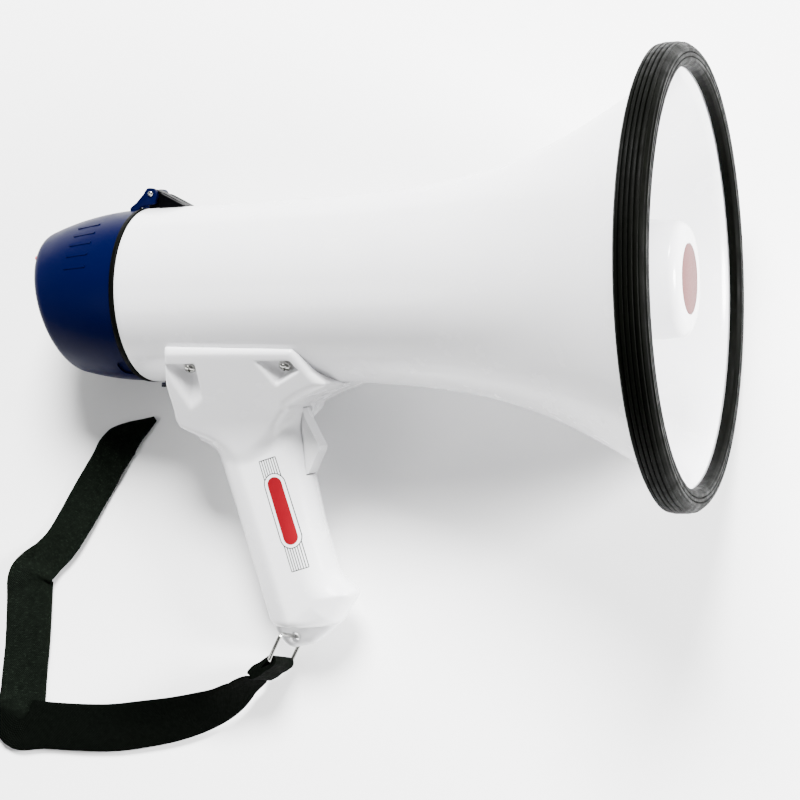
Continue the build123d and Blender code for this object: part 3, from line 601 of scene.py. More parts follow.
def make_reflector():
    """The centre plug with its rounded nose, a ring step round the badge, and three vanes."""
    outline = [
        (PLUG_FACE - 0.6, 0), (PLUG_FACE - 0.6, 17.6), (PLUG_FACE, 17.7), (PLUG_FACE, PLUG_RADIUS),
        (166, 36), (166, 34), (PLUG_FACE - 9, PLUG_RADIUS - 2.2), (PLUG_FACE - 3, PLUG_RADIUS - 9),
        (PLUG_FACE - 3, 9), (PLUG_FACE - 26, 0),
    ]
    radii = [0, 0.15, 0.25, 6.5, 0.8, 0.8, 3, 2, 2, 0]
    plug = lathe("reflector_plug", rounded(outline, radii, 8), 160)
    vane = plane((236, 0, 0), (0, 1, 0), (1, 0, 0))
    vanes = []
    for index in range(3):
        turned = vane @ Matrix.Rotation(math.radians(30 + 120 * index), 4, "Z")
        vanes.append(slab("vane", box_outline(14.4, 2.6, (24.4, 0), 1.0), turned, -10, 0))
    ring = lathe("vane_ring", [(226, 16.05), (236, 16.05), (236, 18.4), (226, 18.4)], 96)
    plug = joined("reflector_plug", [plug, ring, *vanes])
    finish(plug, "root", "shell_white", stands_for=["reflector"])
    badge = [(PLUG_FACE - 0.6, 0), (PLUG_FACE - 0.6, 17.3), (PLUG_FACE + 0.02, 17.3), (PLUG_FACE + 0.1, 0)]
    badge = lathe("badge_disc", rounded(badge, [0, 0, 0.25, 0], 3), 96)
    finish(badge, "root", "badge_salmon", stands_for=["reflector_badge"])


def make_gasket():
    outline = rounded([(-2.7, 42.2), (-0.05, 42.2), (-0.05, 46.7), (-2.7, 46.5)], 0.5, 4)
    finish(lathe("gasket_ring", outline, 192), "root", "rubber_black", stands_for=["body_gasket"], sharp=60)


# ------------------------------------------------------------------------ rear cover
def cover_half(angle, inset, front, steps=(26, 9, 8)):
    """The cover's section at one angle about the axis, from its front edge to the panel's middle."""
    lean = math.sin(angle) * math.tan(FACE_TILT)
    bulge = COVER_BULGE - inset
    drop = COVER_BULGE - COVER_RADIUS
    edge = FACE_EDGE - inset
    deep = COVER_DEPTH - inset / math.cos(FACE_TILT)
    size = math.sqrt(1 + lean * lean)
    a = edge * size - deep
    b = 2 * (drop - a * lean)
    c = a * a + drop * drop - (bulge - edge) ** 2
    centre_r = (-b + math.sqrt(b * b - 4 * (1 + lean * lean) * c)) / (2 * (1 + lean * lean))
    centre = Vector((a - lean * centre_r, centre_r))
    outward = (centre - Vector((0, -drop))).normalized()
    inward = Vector((-1, -lean)) / size
    start = math.asin(front / bulge)
    stop = math.atan2(outward.x, outward.y)
    points = []
    for step in range(steps[0] + 1):
        turn = start + (stop - start) * step / steps[0]
        points.append((bulge * math.sin(turn), bulge * math.cos(turn) - drop))
    swing = outward.angle(inward)
    for step in range(1, steps[1] + 1):
        share = step / steps[1]
        mix = (outward * math.sin((1 - share) * swing) + inward * math.sin(share * swing)) / math.sin(swing)
        points.append(tuple(centre + mix * edge))
    last = Vector(points[-1])
    for step in range(1, steps[2] + 1):
        points.append(tuple(last.lerp(Vector((-deep, 0)), step / steps[2])))
    return points


def cover_shell(name, segments=192):
    """The cover's closed wall: outside from the panel to the front edge, and back inside."""
    rows = []
    for index in range(segments):
        angle = 2 * math.pi * index / segments
        outside = cover_half(angle, 0, COVER_FRONT)[::-1]
        inside = cover_half(angle, WALL, COVER_FRONT - 0.1)
        edge = Vector(outside[-1])
        outside[-1] = (edge.x - 0.35, edge.y)
        outline = outside + [(edge.x, edge.y - 0.4), (edge.x, inside[0][1] + 0.2)] + inside
        rows.append([(x, r * math.cos(angle), r * math.sin(angle)) for x, r in outline])
    points = np.array(rows)
    return build(name, points.reshape(-1, 3), grid_faces(segments, points.shape[1], True, False), 0.01 * MM)


def label_outline(radius, top, steps=72):
    """A disc with its top cut off straight."""
    reach = math.asin(top / radius)
    angles = [reach - (math.pi + 2 * reach) * step / steps for step in range(steps + 1)]
    return [(radius * math.cos(a), radius * math.sin(a)) for a in angles][::-1]


def cover_ribs():
    """Five round-ended finger ribs low on each shoulder of the cover."""
    ribs = []
    for side in (-1, 1):
        for angle in RIB_ANGLES:
            out = Vector((0, side * math.cos(angle), math.sin(angle)))
            x, reach = zip(*cover_half(math.atan2(out.z, out.y), 0, COVER_FRONT))
            radius = np.interp(-RIB_MIDDLE, [-value for value in x], reach)
            leaning = Vector((-RIB_LEAN, 0, 0)) + out
            along = Vector((1, 0, 0)) + out * RIB_LEAN
            place = plane(out * radius + Vector((RIB_MIDDLE, 0, 0)), along, leaning)
            ribs.append(slab("rib", pill(14.0, 1.8, steps=4), place, -2.0, 0.3))
    return ribs


def finger_recesses():
    """A shallow scoop at each side of the cover, beside the gasket, to pull it open."""
    scoops = []
    for side in (-1, 1):
        out = Vector((0, side * math.cos(RECESS_ANGLE), math.sin(RECESS_ANGLE)))
        place = plane(out * 45.3 + Vector((-3, 0, 0)), (1, 0, 0), out)
        outline = rounded([(-6.0, -5.0), (3.5, -9.0), (3.5, 8.0), (-6.0, 5.0)], [3.5, 1, 1, 3.5], 6)
        scoops.append(slab("scoop", outline, place, -1.1, 6))
    return scoops


def hinge_ears():
    """Two ears that rise from the cover's top edge to the hinge pin."""
    outline = [(-9.0, 43.6), (-8.6, 46.6), (-5.0, 49.2), (-0.6, 53.6), (1.6, 56.9), (6.4, 56.4), (7.2, 51.5),
               (6.0, 48.3), (0, 47.4), (-3.0, 46.3), (-3.0, 43.6)]
    outline = rounded(outline, [0, 0.8, 4, 5, 2.6, 2.6, 1.5, 1.5, 0.6, 0.3, 0], 5)
    return [slab("ear", outline, SIDE, low, low + 3.1) for low in (-8.0, 4.9)]


def panel_slots(low):
    """Tools for the keys' slot and the volume slider's slot."""
    keys = slab("keys", pill(*KEY_SLOT, (0, KEY_HEIGHT), 10), PANEL, low, 2)
    return [keys, slab("slider", pill(*VOLUME_SLOT, (0, VOLUME_HEIGHT), 8), PANEL, low, 2)]


def panel_openings():
    """Everything that is cut through or into the panel."""
    recess = slab("recess", label_outline(LABEL_RADIUS + 0.3, LABEL_TOP + 0.3), PANEL, -0.8, 3)
    tools = [recess, *panel_slots(-4)]
    for side in (-1, 1):
        tools.append(slab("lamp", disc_outline(1.6, 32, (side * LAMP_SPOT[0], LAMP_SPOT[1])), PANEL, -4, 2))
    for row, width in enumerate((10.0, 11.8, 10.0, 5.4)):
        tools.append(slab("sound", pill(width, 0.9, (0, MIC_HEIGHT - 3.6 + 2.5 * row), 5), PANEL, -4, 2))
    return tools


def make_cover():
    cover = cover_shell("cover_shell")
    combine(cover, cover_ribs(), "UNION")
    step = slab("step", label_outline(36.2, 17.2), PANEL, -0.45, 3)
    combine(cover, [step, *finger_recesses(), *panel_openings()])
    bore = slab("bore", disc_outline(1.3, 32, (HINGE.x, HINGE.z)), SIDE, -12, 12)
    ears = joined("ears", hinge_ears())
    combine(ears, [bore])
    soft_edges(ears, 0.35, 40, 2)
    finish(joined("cover_moulding", [cover, ears]), "lid", "cover_blue", stands_for=["rear_cover"], sharp=50)


def make_label():
    label = slab("panel_label", label_outline(LABEL_RADIUS, LABEL_TOP), PANEL, -0.8, -0.2)
    combine(label, panel_slots(-2))
    soft_edges(label, 0.12, 40, 1)
    finish(label, "lid", "label_grey", stands_for=["control_label"])


def ink(name, outlines, place, body, slot, material="ink_black", height=0.06, base=-0.2):
    """Thin printed marks on a flat face."""
    marks = joined(name, [slab("mark", outline, place, base - 0.1, base + height) for outline in outlines])
    return finish(marks, body, slot, material)


def triangle(u, v, width, height, way=1):
    back = u - way * width / 2
    return [(back, v - height / 2), (u + way * width / 2, v), (back, v + height / 2)]


def arc_band(u, v, radius, thick, start, stop, steps=10):
    """A curved stroke."""
    angles = [math.radians(start + (stop - start) * step / steps) for step in range(steps + 1)]
    outer = [(u + radius * math.cos(a), v + radius * math.sin(a)) for a in angles]
    inner = [(u + (radius - thick) * math.cos(a), v + (radius - thick) * math.sin(a)) for a in angles]
    return outer + inner[::-1]


def power_marks():
    """Key up and key down, each over a base line, for off and on."""
    marks = []
    for v, gap in ((-8.0, 1.5), (-12.2, 0.75)):
        top = v - 1.15 + gap
        marks.append(bar(-25.4, v - 1.7, -20.4, v - 1.15))
        marks.append(bar(-24.2, top, -21.6, top + 0.9))
        marks.append(bar(-23.2, v - 1.15, -22.6, top))
    marks.append(arc_band(-17.6, -8.3, 1.5, 0.45, 0, 360, 24))
    marks.append(bar(-17.85, -13.8, -17.35, -10.9))
    return marks


def siren_marks():
    """Sound waves from a small horn."""
    marks = [[(-10.4, -10.9), (-8.9, -10.9), (-7.2, -12.2), (-7.2, -8.2), (-8.9, -9.5), (-10.4, -9.5)]]
    marks += [arc_band(-7.2, -10.2, radius, 0.5, -42, 42) for radius in (2.2, 3.5, 4.8)]
    return marks


def record_marks():
    return [disc_outline(1.7, 28, (5.3, -10.2)), arc_band(5.3, -10.2, 2.7, 0.4, 0, 360, 32)]


def play_marks():
    """A play arrow between two short bars of sound."""
    marks = [triangle(19.6, -10.2, 3.2, 3.8)]
    for index, half in enumerate((0.8, 1.6, 1.1)):
        u = 22.6 + 1.1 * index
        marks.append(bar(u, -10.2 - half, u + 0.5, -10.2 + half))
    return marks


def volume_marks():
    """A wedge that thickens to the right, with a tick below each end."""
    wedge = [(-15.2, -19.7), (15.2, -19.4), (15.2, -23.0), (-15.2, -20.1)]
    ticks = [bar(u - 1.4, -26.4, u + 1.4, -25.9) for u in (-8.5, 8.5)]
    return [wedge, *ticks, bar(8.25, -27.55, 8.75, -24.75)]


def make_label_marks():
    ink("label_marks_keys", [*power_marks(), *siren_marks(), *play_marks()], PANEL, "lid", "label_grey")
    ink("label_marks_record", record_marks(), PANEL, "lid", "label_grey", "ink_red")
    ink("label_marks_volume", volume_marks(), PANEL, "lid", "label_grey")


# ------------------------------------------------------------- keys, latch and hinge
def make_panel_keys():
    """Four glossy keys with rounded tops, and the dark slider of the volume."""
    for index, name in enumerate(("power", "siren", "record", "play")):
        column = KEY_PITCH * (index - 1.5)
        key = slab("key", box_outline(9.1, 6.8, (column, KEY_HEIGHT), 2.2), PANEL, -5.4, 4.4)
        soft_edges(key, 1.5, 50, 4)
        stem = slab("stem", box_outline(3, 3, (column, KEY_HEIGHT), 0.3), PANEL, -11.4, -5.2)
        key = joined(name + "_key_cap", [key, stem])
        finish(key, name + "_key", "key_blue", stands_for=[name + "_button"])
    knob = slab("knob", box_outline(4.9, 3.2, (VOLUME_START, VOLUME_HEIGHT), 0.8), PANEL, -4.1, 0.7)
    grooves = []
    for shift in (-0.9, 0, 0.9):
        groove = box_outline(0.4, 5, (VOLUME_START + shift, VOLUME_HEIGHT))
        grooves.append(slab("cut", groove, PANEL, 0.4, 2))
    combine(knob, grooves)
    soft_edges(knob, 0.15, 40, 2)
    stem = slab("stem", box_outline(1.4, 1.8, (VOLUME_START, VOLUME_HEIGHT)), PANEL, -8.1, -4.0)
    knob = joined("volume_slider_knob", [knob, stem])
    finish(knob, "volume_slider", "frame_black", stands_for=["volume_knob"])


def make_panel_lamps():
    """Two domed red lamps."""
    profile = [(0, -5.9), (1.45, -5.9), (1.45, 0.1), (1.2, 0.6), (0.7, 0.9), (0, 0.98)]
    lamps = []
    for side in (-1, 1):
        place = PANEL @ Matrix.Translation((side * LAMP_SPOT[0], LAMP_SPOT[1], 0))
        lamps.append(turned("lamp", profile, place, 40))
    finish(joined("panel_lamps", lamps), "lid", "lamp_red", stands_for=["status_lamps"], sharp=60)


def turned(name, profile, place, segments=64):
    """Turn an open (radius, height) profile about a plane's normal, starting and ending on the axis."""
    points = []
    for step in range(segments):
        angle = 2 * math.pi * step / segments
        points += [place @ Vector((r * math.cos(angle), r * math.sin(angle), h)) for r, h in profile]
    return build(name, points, grid_faces(segments, len(profile), True, False))


def make_latch():
    """A sliding button with two finger grooves, on a stem that leads to its tongue."""
    below = plane((10, 0, -46.9), (1, 0, 0), (0, 0, -1))
    button = slab("button", box_outline(8.8, 12, (0, 0), 1.4), below, 0, 2.45)
    grooves = [slab("cut", box_outline(1.0, 20, (shift, 0)), below, 1.8, 4) for shift in (-1.6, 1.6)]
    combine(button, grooves)
    soft_edges(button, 0.4, 40, 2)
    stem = slab("stem", box_outline(4.2, 5.2, (-1.5, 0), 0.5), below, -8.0, 0.2)
    tongue = slab("tongue", box_outline(14, 5.2, (-9, 0), 0.8), below, -8.1, -6.3)
    latch = joined("latch_slider", [button, stem, tongue])
    finish(latch, "latch", "key_blue", stands_for=["latch_button"])


def make_hinge():
    """The black bracket on the horn and the pin through it."""
    low = [(0.95, 45.2), (0.95, 53), (1.6, 55.2), (3.6, 56.4), (5.4, 56.0), (22.5, 46.9), (22.5, 45.2)]
    middle = slab("bracket", rounded(low, [0, 1.2, 1, 1, 1.5, 1.2, 0], 4), SIDE, -4.65, 4.65)
    wide = [(8.7, 45.0), (8.7, 54.2), (22.5, 46.9), (22.5, 45.0)]
    wide = slab("bracket", rounded(wide, [0, 0.8, 1.0, 0], 4), SIDE, -7.95, 7.95)
    combine(middle, [wide], "UNION")
    bore = slab("bore", disc_outline(1.25, 32, (HINGE.x, HINGE.z)), SIDE, -12, 12)
    combine(middle, [bore])
    soft_edges(middle, 0.45, 35, 3)
    finish(middle, "root", "frame_black", "bracket_black", stands_for=["hinge_bracket"])
    end = [(0, 8.95), (0.9, 8.9), (1.35, 8.6), (1.45, 8.32), (1.18, 8.3)]
    profile = end + [(r, -h) for r, h in reversed(end)]
    across = plane(HINGE, (1, 0, 0), (0, -1, 0))
    finish(turned("hinge_pin_rod", profile, across, 40), "root", "chrome_steel", stands_for=["hinge_pin"])


# ---------------------------------------------------------------------------- screws
def screw_frame(x, side, height):
    """The plane of a saddle screw's seat."""
    out = Vector((0, side * math.cos(SCREW_ANGLE), -math.sin(SCREW_ANGLE)))
    return plane(Vector((x, 0, 0)) + out * height, (1, 0, 0), out)


def make_screws():
    """Domed heads with a cross recess, each on a thin washer."""
    profile = [
        (0, -6.7), (1.4, -6.7), (1.85, -6.2), (1.85, 0.02), (3.1, 0.02), (3.3, 0.25), (3.25, 0.7),
        (2.9, 1.3), (2.3, 1.75), (1.4, 2.02), (0, 2.08),
    ]
    ring = [(2.0, 0.05), (3.7, 0.05), (3.9, 0.2), (3.9, 0.6), (3.7, 0.78), (2.0, 0.78), (2.0, 0.05)]
    heads, washers = [], []
    for x in SCREW_PLACES:
        for side in (-1, 1):
            place = screw_frame(x, side, SCREW_SEAT + 0.8)
            head = turned("head", profile, place, 64)
            turn = place @ Matrix.Rotation(0.5 + x * 0.7 + side, 4, "Z")
            cuts = []
            for width, height, low in ((4.2, 1.0, 0.9), (1.0, 4.2, 0.91)):
                cuts.append(slab("cut", box_outline(width, height, radius=0.2, steps=2), turn, low, 4))
            combine(head, cuts)
            heads.append(soft_edges(head, 0.1, 50, 1))
            washers.append(turned("washer", ring, screw_frame(x, side, SCREW_SEAT), 64))
    finish(joined("saddle_screw_heads", heads), "root", "chrome_steel", stands_for=["saddle_screws"])
    finish(joined("saddle_washer_rings", washers), "root", "plain_steel", stands_for=["saddle_washers"])


# ---------------------------------------------------------------------- ring and strap
def wire_along(name, path, normal, radius, segments=20):
    """A round wire along a closed flat path."""
    path = [Vector(point) for point in path]
    normal = Vector(normal).normalized()
    points = []
    for index, point in enumerate(path):
        ahead = (path[(index + 1) % len(path)] - path[index - 1]).normalized()
        side = ahead.cross(normal)
        for step in range(segments):
            angle = 2 * math.pi * step / segments
            points.append(point + (normal * math.cos(angle) + side * math.sin(angle)) * radius)
    return build(name, points, grid_faces(len(path), segments))


RING_BAR = Vector((0.015, 0.98, -0.201))
RING_BAR = (RING_BAR - RING_DOWN * RING_BAR.dot(RING_DOWN)).normalized()
RING_TOP = Vector((STRAP_HOLE[0], 0, STRAP_HOLE[1])) - RING_BAR * 7
RING_LOW = RING_TOP + RING_DOWN * RING_DROP
LOOP_WAY = RING_DOWN * math.cos(math.radians(30)) + RING_BAR.cross(RING_DOWN) * math.sin(math.radians(30))


def make_ring():
    half = RING_WIDTH / 2
    corners = [(-half, 0), (half, 0), (half, RING_DROP), (-half, RING_DROP)]
    path = [RING_TOP + RING_BAR * u + RING_DOWN * v for u, v in rounded(corners, 2.4, 10)]
    wire = wire_along("strap_ring_wire", path, RING_BAR.cross(RING_DOWN), 1.0, 28)
    finish(wire, "ring", "chrome_steel", stands_for=["strap_ring"], sharp=80)


def weave(obj, values):
    """Store where each point lies on the strap: across it, along it, and which face shows."""
    layer = obj.data.attributes.new("weave", "FLOAT_VECTOR", "POINT")
    layer.data.foreach_set("vector", np.asarray(values, float).ravel())


def make_loop():
    """Webbing folded round the ring's lower bar and stitched to itself."""
    place = plane(RING_LOW, LOOP_WAY, RING_BAR)
    back = [(3.1 * math.cos(a), 3.1 * math.sin(a)) for a in np.radians(np.linspace(80, 280, 22))]
    outer = rounded([(15.4, 1.6), (13.6, 3.2), (9.5, 3.9), (5.6, 3.2), (3.0, 3.2)], [0.8, 2, 6, 4, 0], 4)
    under = [(3.0, -3.1), (5.6, -2.6), (9.0, -2.9), (13.0, -2.2), (15.4, -1.0)]
    outer += [*back, *rounded(under, [0, 4, 4, 2, 0.6], 4)]
    inner = [(1.35 * math.cos(a), 1.35 * math.sin(a)) for a in np.radians(np.linspace(60, 300, 16))]
    inner = [(6.4, 0.5), *inner, (6.4, -0.1)]
    half = LOOP_WIDTH / 2
    loop = slab("strap_loop_fold", outer, place, -half, half)
    combine(loop, [slab("hole", inner, place, -half - 2, half + 2)])
    soft_edges(loop, 0.5, 50, 3)
    turn = place.inverted()
    spots = [turn @ (vertex.co / MM) for vertex in loop.data.vertices]
    weave(loop, [(spot.z, spot.x + 2 * math.copysign(1, spot.y), 0.2) for spot in spots])
    finish(loop, "ring", "webbing_black", stands_for=["strap_loop"], sharp=60)
    return loop


def even_points(route, spacing):
    """Even points along a NURBS curve laid over a route, in millimetres in the row frame."""
    data = bpy.data.curves.new("strap_route", "CURVE")
    data.dimensions = "3D"
    data.resolution_u = 24
    spline = data.splines.new("NURBS")
    spline.points.add(len(route) - 1)
    run = 0.0
    for index, (point, place) in enumerate(zip(spline.points, route)):
        run += math.dist(place, route[index - 1]) if index else 0
        lift = 1.3 + 14.7 * np.interp(run, *zip(*STRAP_UPRIGHT))
        point.co = (place[0] * MM, place[1] * MM, lift * MM, 1)
    spline.order_u = 3
    spline.use_endpoint_u = True
    curve = new_object("strap_route", data, Matrix())
    bpy.context.view_layer.update()
    mesh = bpy.data.meshes.new_from_object(curve.evaluated_get(bpy.context.evaluated_depsgraph_get()))
    points = np.array([vertex.co for vertex in mesh.vertices]) / MM
    bpy.data.objects.remove(curve)
    run = np.concatenate([[0], np.cumsum(np.linalg.norm(np.diff(points, axis=0), axis=1))])
    where = np.linspace(0, run[-1], int(run[-1] / spacing) + 1)
    return np.stack([np.interp(where, run, points[:, axis]) for axis in range(3)], -1), where


def strap_sides(points, where):
    """At each point of the strap, the way across it: upright at the ring, level on the floor."""
    ahead = np.gradient(points, axis=0)
    ahead[:, 2] = 0
    ahead /= np.linalg.norm(ahead, axis=1)[:, None]
    level = np.cross(ahead, (0, 0, 1))
    upright = np.interp(where, *zip(*STRAP_UPRIGHT))[:, None]
    top = -(TURN @ RING_BAR)
    across = upright * np.array(top) + np.sqrt(1 - upright**2) * level
    return across / np.linalg.norm(across, axis=1)[:, None], 1 - upright[:, 0]


def bump_at(where, middle, width):
    return np.exp(-((where - middle) / width) ** 2)


def strap_grid(points, where, across, flat):
    """Rows of points across the strap, with its folds and ripples, and each point's weave."""
    length = where[-1]
    corner = where[np.argmin(points[:, 0] + points[:, 1] * 0.55)]
    crease = where[np.argmin(points[:, 0] - points[:, 1] * 0.4)]
    fold = length - FOLD_FROM_TIP
    taper = np.clip((length - where) / TIP_LENGTH, 0, 1)
    rows, marks = [], []
    for index, spot in enumerate(points):
        run = where[index]
        for s in np.linspace(-1, 1, STRAP_COLUMNS):
            reach = STRAP_HALF * s
            if s < 0:
                reach *= 1 + 0.24 * bump_at(run, corner, 9)
            reach *= 1 - 0.16 * float(np.interp(run, [crease, crease + 12], [0, 1]))
            reach *= min(1, 0.16 + 1.3 * taper[index])
            ripple = 0.55 * (1 + math.sin(run / 13.0 + 1.6 * s + math.sin(run / 37.0)))
            ripple += 0.8 * (1 + math.sin(run / 29.0 - 0.7 * s)) * abs(s)
            ridge = 1.7 * bump_at(run + 7 * s, corner, 5) + 2.0 * bump_at(run - 4 * s, crease, 5)
            ridge += 1.6 * bump_at(run + 5 * s, fold, 4)
            lift = (ripple + ridge) * flat[index] ** 2
            rows.append(spot + across[index] * reach + (0, 0, lift))
            face = float(np.clip((run - corner + 6 * s) / 8, 0, 1))
            marks.append((reach, run, face))
    shape = len(where), STRAP_COLUMNS, 3
    return np.array(rows).reshape(shape), np.array(marks).reshape(shape)


def strap_mesh(top, marks):
    """A closed band of the strap's thickness about a grid of points."""
    normal = np.cross(np.gradient(top, axis=0), np.gradient(top, axis=1))
    normal /= np.linalg.norm(normal, axis=2)[..., None]
    share = np.linspace(-1, 1, STRAP_COLUMNS)
    edge = np.sqrt(np.clip(1 - np.abs(share) ** 10, 0.15, 1))[None, :, None]
    upper = top + normal * STRAP_THICK / 2 * edge
    lower = top - normal * STRAP_THICK / 2 * edge
    ring = np.concatenate([upper, lower[:, ::-1]], axis=1)
    tags = np.concatenate([marks, marks[:, ::-1]], axis=1)
    rows, count = ring.shape[:2]
    faces = grid_faces(rows, count, False, True)
    last = (rows - 1) * count
    faces += [tuple(range(count)), tuple(range(last + count - 1, last - 1, -1))]
    mesh = bpy.data.meshes.new("wrist_webbing")
    mesh.from_pydata((ring.reshape(-1, 3) * MM).tolist(), [], faces)
    strap = new_object("wrist_webbing", mesh, Matrix())
    weave(strap, tags.reshape(-1, 3))
    work = bmesh.new()
    work.from_mesh(mesh)
    bmesh.ops.recalc_face_normals(work, faces=work.faces)
    work.to_mesh(mesh)
    work.free()
    return strap


def make_strap():
    """The webbing from the loop, along the floor, round a folded corner to its cut end."""
    points, where = even_points(STRAP_ROUTE, 1.0)
    across, flat = strap_sides(points, where)
    strap = strap_mesh(*strap_grid(points, where, across, flat))
    strap.data.materials.append(MATERIALS["webbing_black"])
    strap.data.shade_smooth()
    strap.data.set_sharp_from_angle(angle=math.radians(55))
    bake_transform(strap)
    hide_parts("strap_neck", "wrist_strap")
    return strap, points, where[-1]


# --------------------------------------------------------------------- camera and light
def area_light(name, place, target, size, power):
    data = bpy.data.lights.new(name, "AREA")
    data.shape = "DISK"
    data.size = size
    data.energy = power
    light = bpy.data.objects.new(name, data)
    bpy.context.scene.collection.objects.link(light)
    aim = (Vector(target) - Vector(place)).normalized()
    light.matrix_world = Matrix.Translation(place) @ aim.to_track_quat("-Z", "Y").to_matrix().to_4x4()


def make_studio():
    """The camera, a pale floor, and soft lights over the far side, the near side and the mouth."""
    forward = CAMERA_RIGHT.cross(CAMERA_DOWN)
    data = bpy.data.cameras.new("camera")
    data.sensor_width = 36
    data.lens = CAMERA_LENS
    data.clip_start = 0.01
    camera = bpy.data.objects.new("camera", data)
    bpy.context.scene.collection.objects.link(camera)
    turn = Matrix((CAMERA_RIGHT, -CAMERA_DOWN, -forward)).transposed().to_4x4()
    camera.matrix_world = HORN @ Matrix.Translation(CAMERA_PLACE * MM) @ turn
    bpy.context.scene.camera = camera

    world = bpy.data.worlds.new("studio")
    world.use_nodes = True
    world.node_tree.nodes["Background"].inputs[0].default_value = (1, 1, 1, 1)
    world.node_tree.nodes["Background"].inputs[1].default_value = SKY
    bpy.context.scene.world = world

    material, add, dress = shader("floor", (0.93, 0.93, 0.93), 0.9)
    dress(clouds(add, object_place(add), 3, 3, (0.92, 0.92, 0.92), (0.94, 0.94, 0.94)))
    mesh = bpy.data.meshes.new("floor")
    mesh.from_pydata([(-4, -4, 0), (4, -4, 0), (4, 4, 0), (-4, 4, 0)], [], [(0, 1, 2, 3)])
    mesh.materials.append(material)
    new_object("floor", mesh, Matrix())

    for light in LIGHTS:
        area_light(*light)


# ------------------------------------------------------------------- handle's surface
SADDLE_SIDE = [
    (13.6, -26.9), (13.8, -47), (20.3, -70), (29, -74.3), (41, -78.2), (56, -86), (74, -76), (87, -62),
    (87.5, -59), (95, -55), (111.5, -48.8), (104, -42), (98.5, -33), (96, -30),
]
SADDLE_ROUND = [0.5, 4, 3, 5, 10, 14, 10, 3, 1, 5, 1.2, 1, 1, 0.5]
SADDLE_END = [
    (41, -20), (40.4, -31.8), (17, -82), (14, -90), (-14, -90), (-17, -82), (-40.4, -31.8), (-41, -20),
]
SADDLE_TOP = [(4, 42), (98, 41.5), (112, 30), (112, -30), (98, -41.5), (4, -42)]
REAR_SLANT = 0.46  # how steeply the saddle's rear face falls away beside the keys
REAR_FLAT = 14.5  # half the width of the part of the rear face that doesn't slant
GRIP_OUTLINE = [
    (32, -52), (28, -78), (37.6, -83), (48.2, -116), (67.6, -180), (75, -188.2), (90, -185),
    (104, -174), (115.4, -157), (103.2, -147), (95.6, -121), (90.4, -96), (86.5, -60), (80, -52),
]
GRIP_ROUND = [0, 2, 12, 40, 10, 7, 9, 12, 5, 12, 30, 30, 10, 0]
GRIP_EDGE = 16.2
HANDLE_WALL = 3.2
HANDLE_LOW = np.array((1.5, -0.4, -191.0))
HANDLE_SPAN = (121, 46, 171)
CELL = 0.85  # the grid's spacing


def outline_distance(a, b, outline):
    """Signed distance to a closed outline, less than nothing inside it."""
    nearest = np.full(a.shape, 1e9)
    inside = np.zeros(a.shape, bool)
    count = len(outline)
    for index in range(count):
        a0, b0 = outline[index]
        da, db = outline[(index + 1) % count][0] - a0, outline[(index + 1) % count][1] - b0
        length = da * da + db * db
        if length < 1e-9:
            continue
        share = np.clip(((a - a0) * da + (b - b0) * db) / length, 0, 1)
        nearest = np.minimum(nearest, (a - a0 - share * da) ** 2 + (b - b0 - share * db) ** 2)
        if abs(db) > 1e-12:
            crosses = ((b0 > b) != (b0 + db > b)) & (a < a0 + da * (b - b0) / db)
            inside ^= crosses
    return np.where(inside, -1.0, 1.0) * np.sqrt(nearest)


def meet(first, second, soft=0.0):
    """What is inside both, with an edge rounded by about soft."""
    if soft == 0:
        return np.maximum(first, second)
    share = np.maximum(soft - np.abs(first - second), 0) / soft
    return np.maximum(first, second) + share * share * soft / 4


def unite(first, second, soft=0.0):
    return -meet(-first, -second, soft)


def carve(body, tool, soft=0.0):
    return meet(body, -tool, soft)


def block(x, y, z, low, high):
    """Distance to a box."""
    spans = [np.maximum(low[axis] - value, value - high[axis]) for axis, value in enumerate((x, y, z))]
    return np.maximum(np.maximum(spans[0], spans[1]), spans[2])


def flat_side(value, *slopes):
    return value / math.sqrt(sum(slope * slope for slope in slopes))


def pocket(x, y, z, front):
    """The hollow over one saddle screw, open towards the screw's driver."""
    cos, sin = math.cos(SCREW_ANGLE), math.sin(SCREW_ANGLE)
    u = x - SCREW_PLACES[1 if front else 0]
    v = y * sin + z * cos
    w = y * cos - z * sin - SCREW_SEAT
    if front:
        sides = [v - 6, flat_side(0.775 * u + 0.632 * v - 7.05, 1)]
        sides.append(-flat_side(55.3 * (u + 14.8) + 47.3 * (v - 6) + 17.6 * (w - 4.3), 55.3, 47.3, 17.6))
        sides.append(flat_side(63.5 * u - 110.6 * (v + 5) + 24.7 * w, 63.5, 110.6, 24.7))
    else:
        sides = [v - 5, u - 4.9]
        sides.append(-flat_side(106.7 * (u + 15) + 92 * (v - 5) + 90.8 * (w - 4.7), 106.7, 92, 90.8))
        sides.append(-flat_side(v + 0.72 * w + 8 - 0.45 * (u + 3), 1, 0.72, 0.45))
    hollow = -w
    for side in sides:
        hollow = meet(hollow, side, 1.2)
    return hollow


def horn_radius(x):
    line = spline_through(BELL, 90)
    return np.interp(x, line[:, 0], line[:, 1])


def key_wells(x, y, z, side):
    """Round holes for the music keys and their lamp."""
    turn = np.array(KEY_FACE.inverted())
    spot = [turn[row, 0] * x + turn[row, 1] * y * side + turn[row, 2] * z + turn[row, 3] for row in range(3)]
    holes = np.full(np.shape(spot[0]), 1e3)
    for u, v, radius in [*MUSIC_KEYS.values(), (*MUSIC_LAMP, 1.2)]:
        round_part = np.hypot(spot[0] - u, spot[1] - v) - radius - 0.3
        holes = np.minimum(holes, np.maximum(round_part, np.abs(spot[2] + 2) - 4))
    return holes


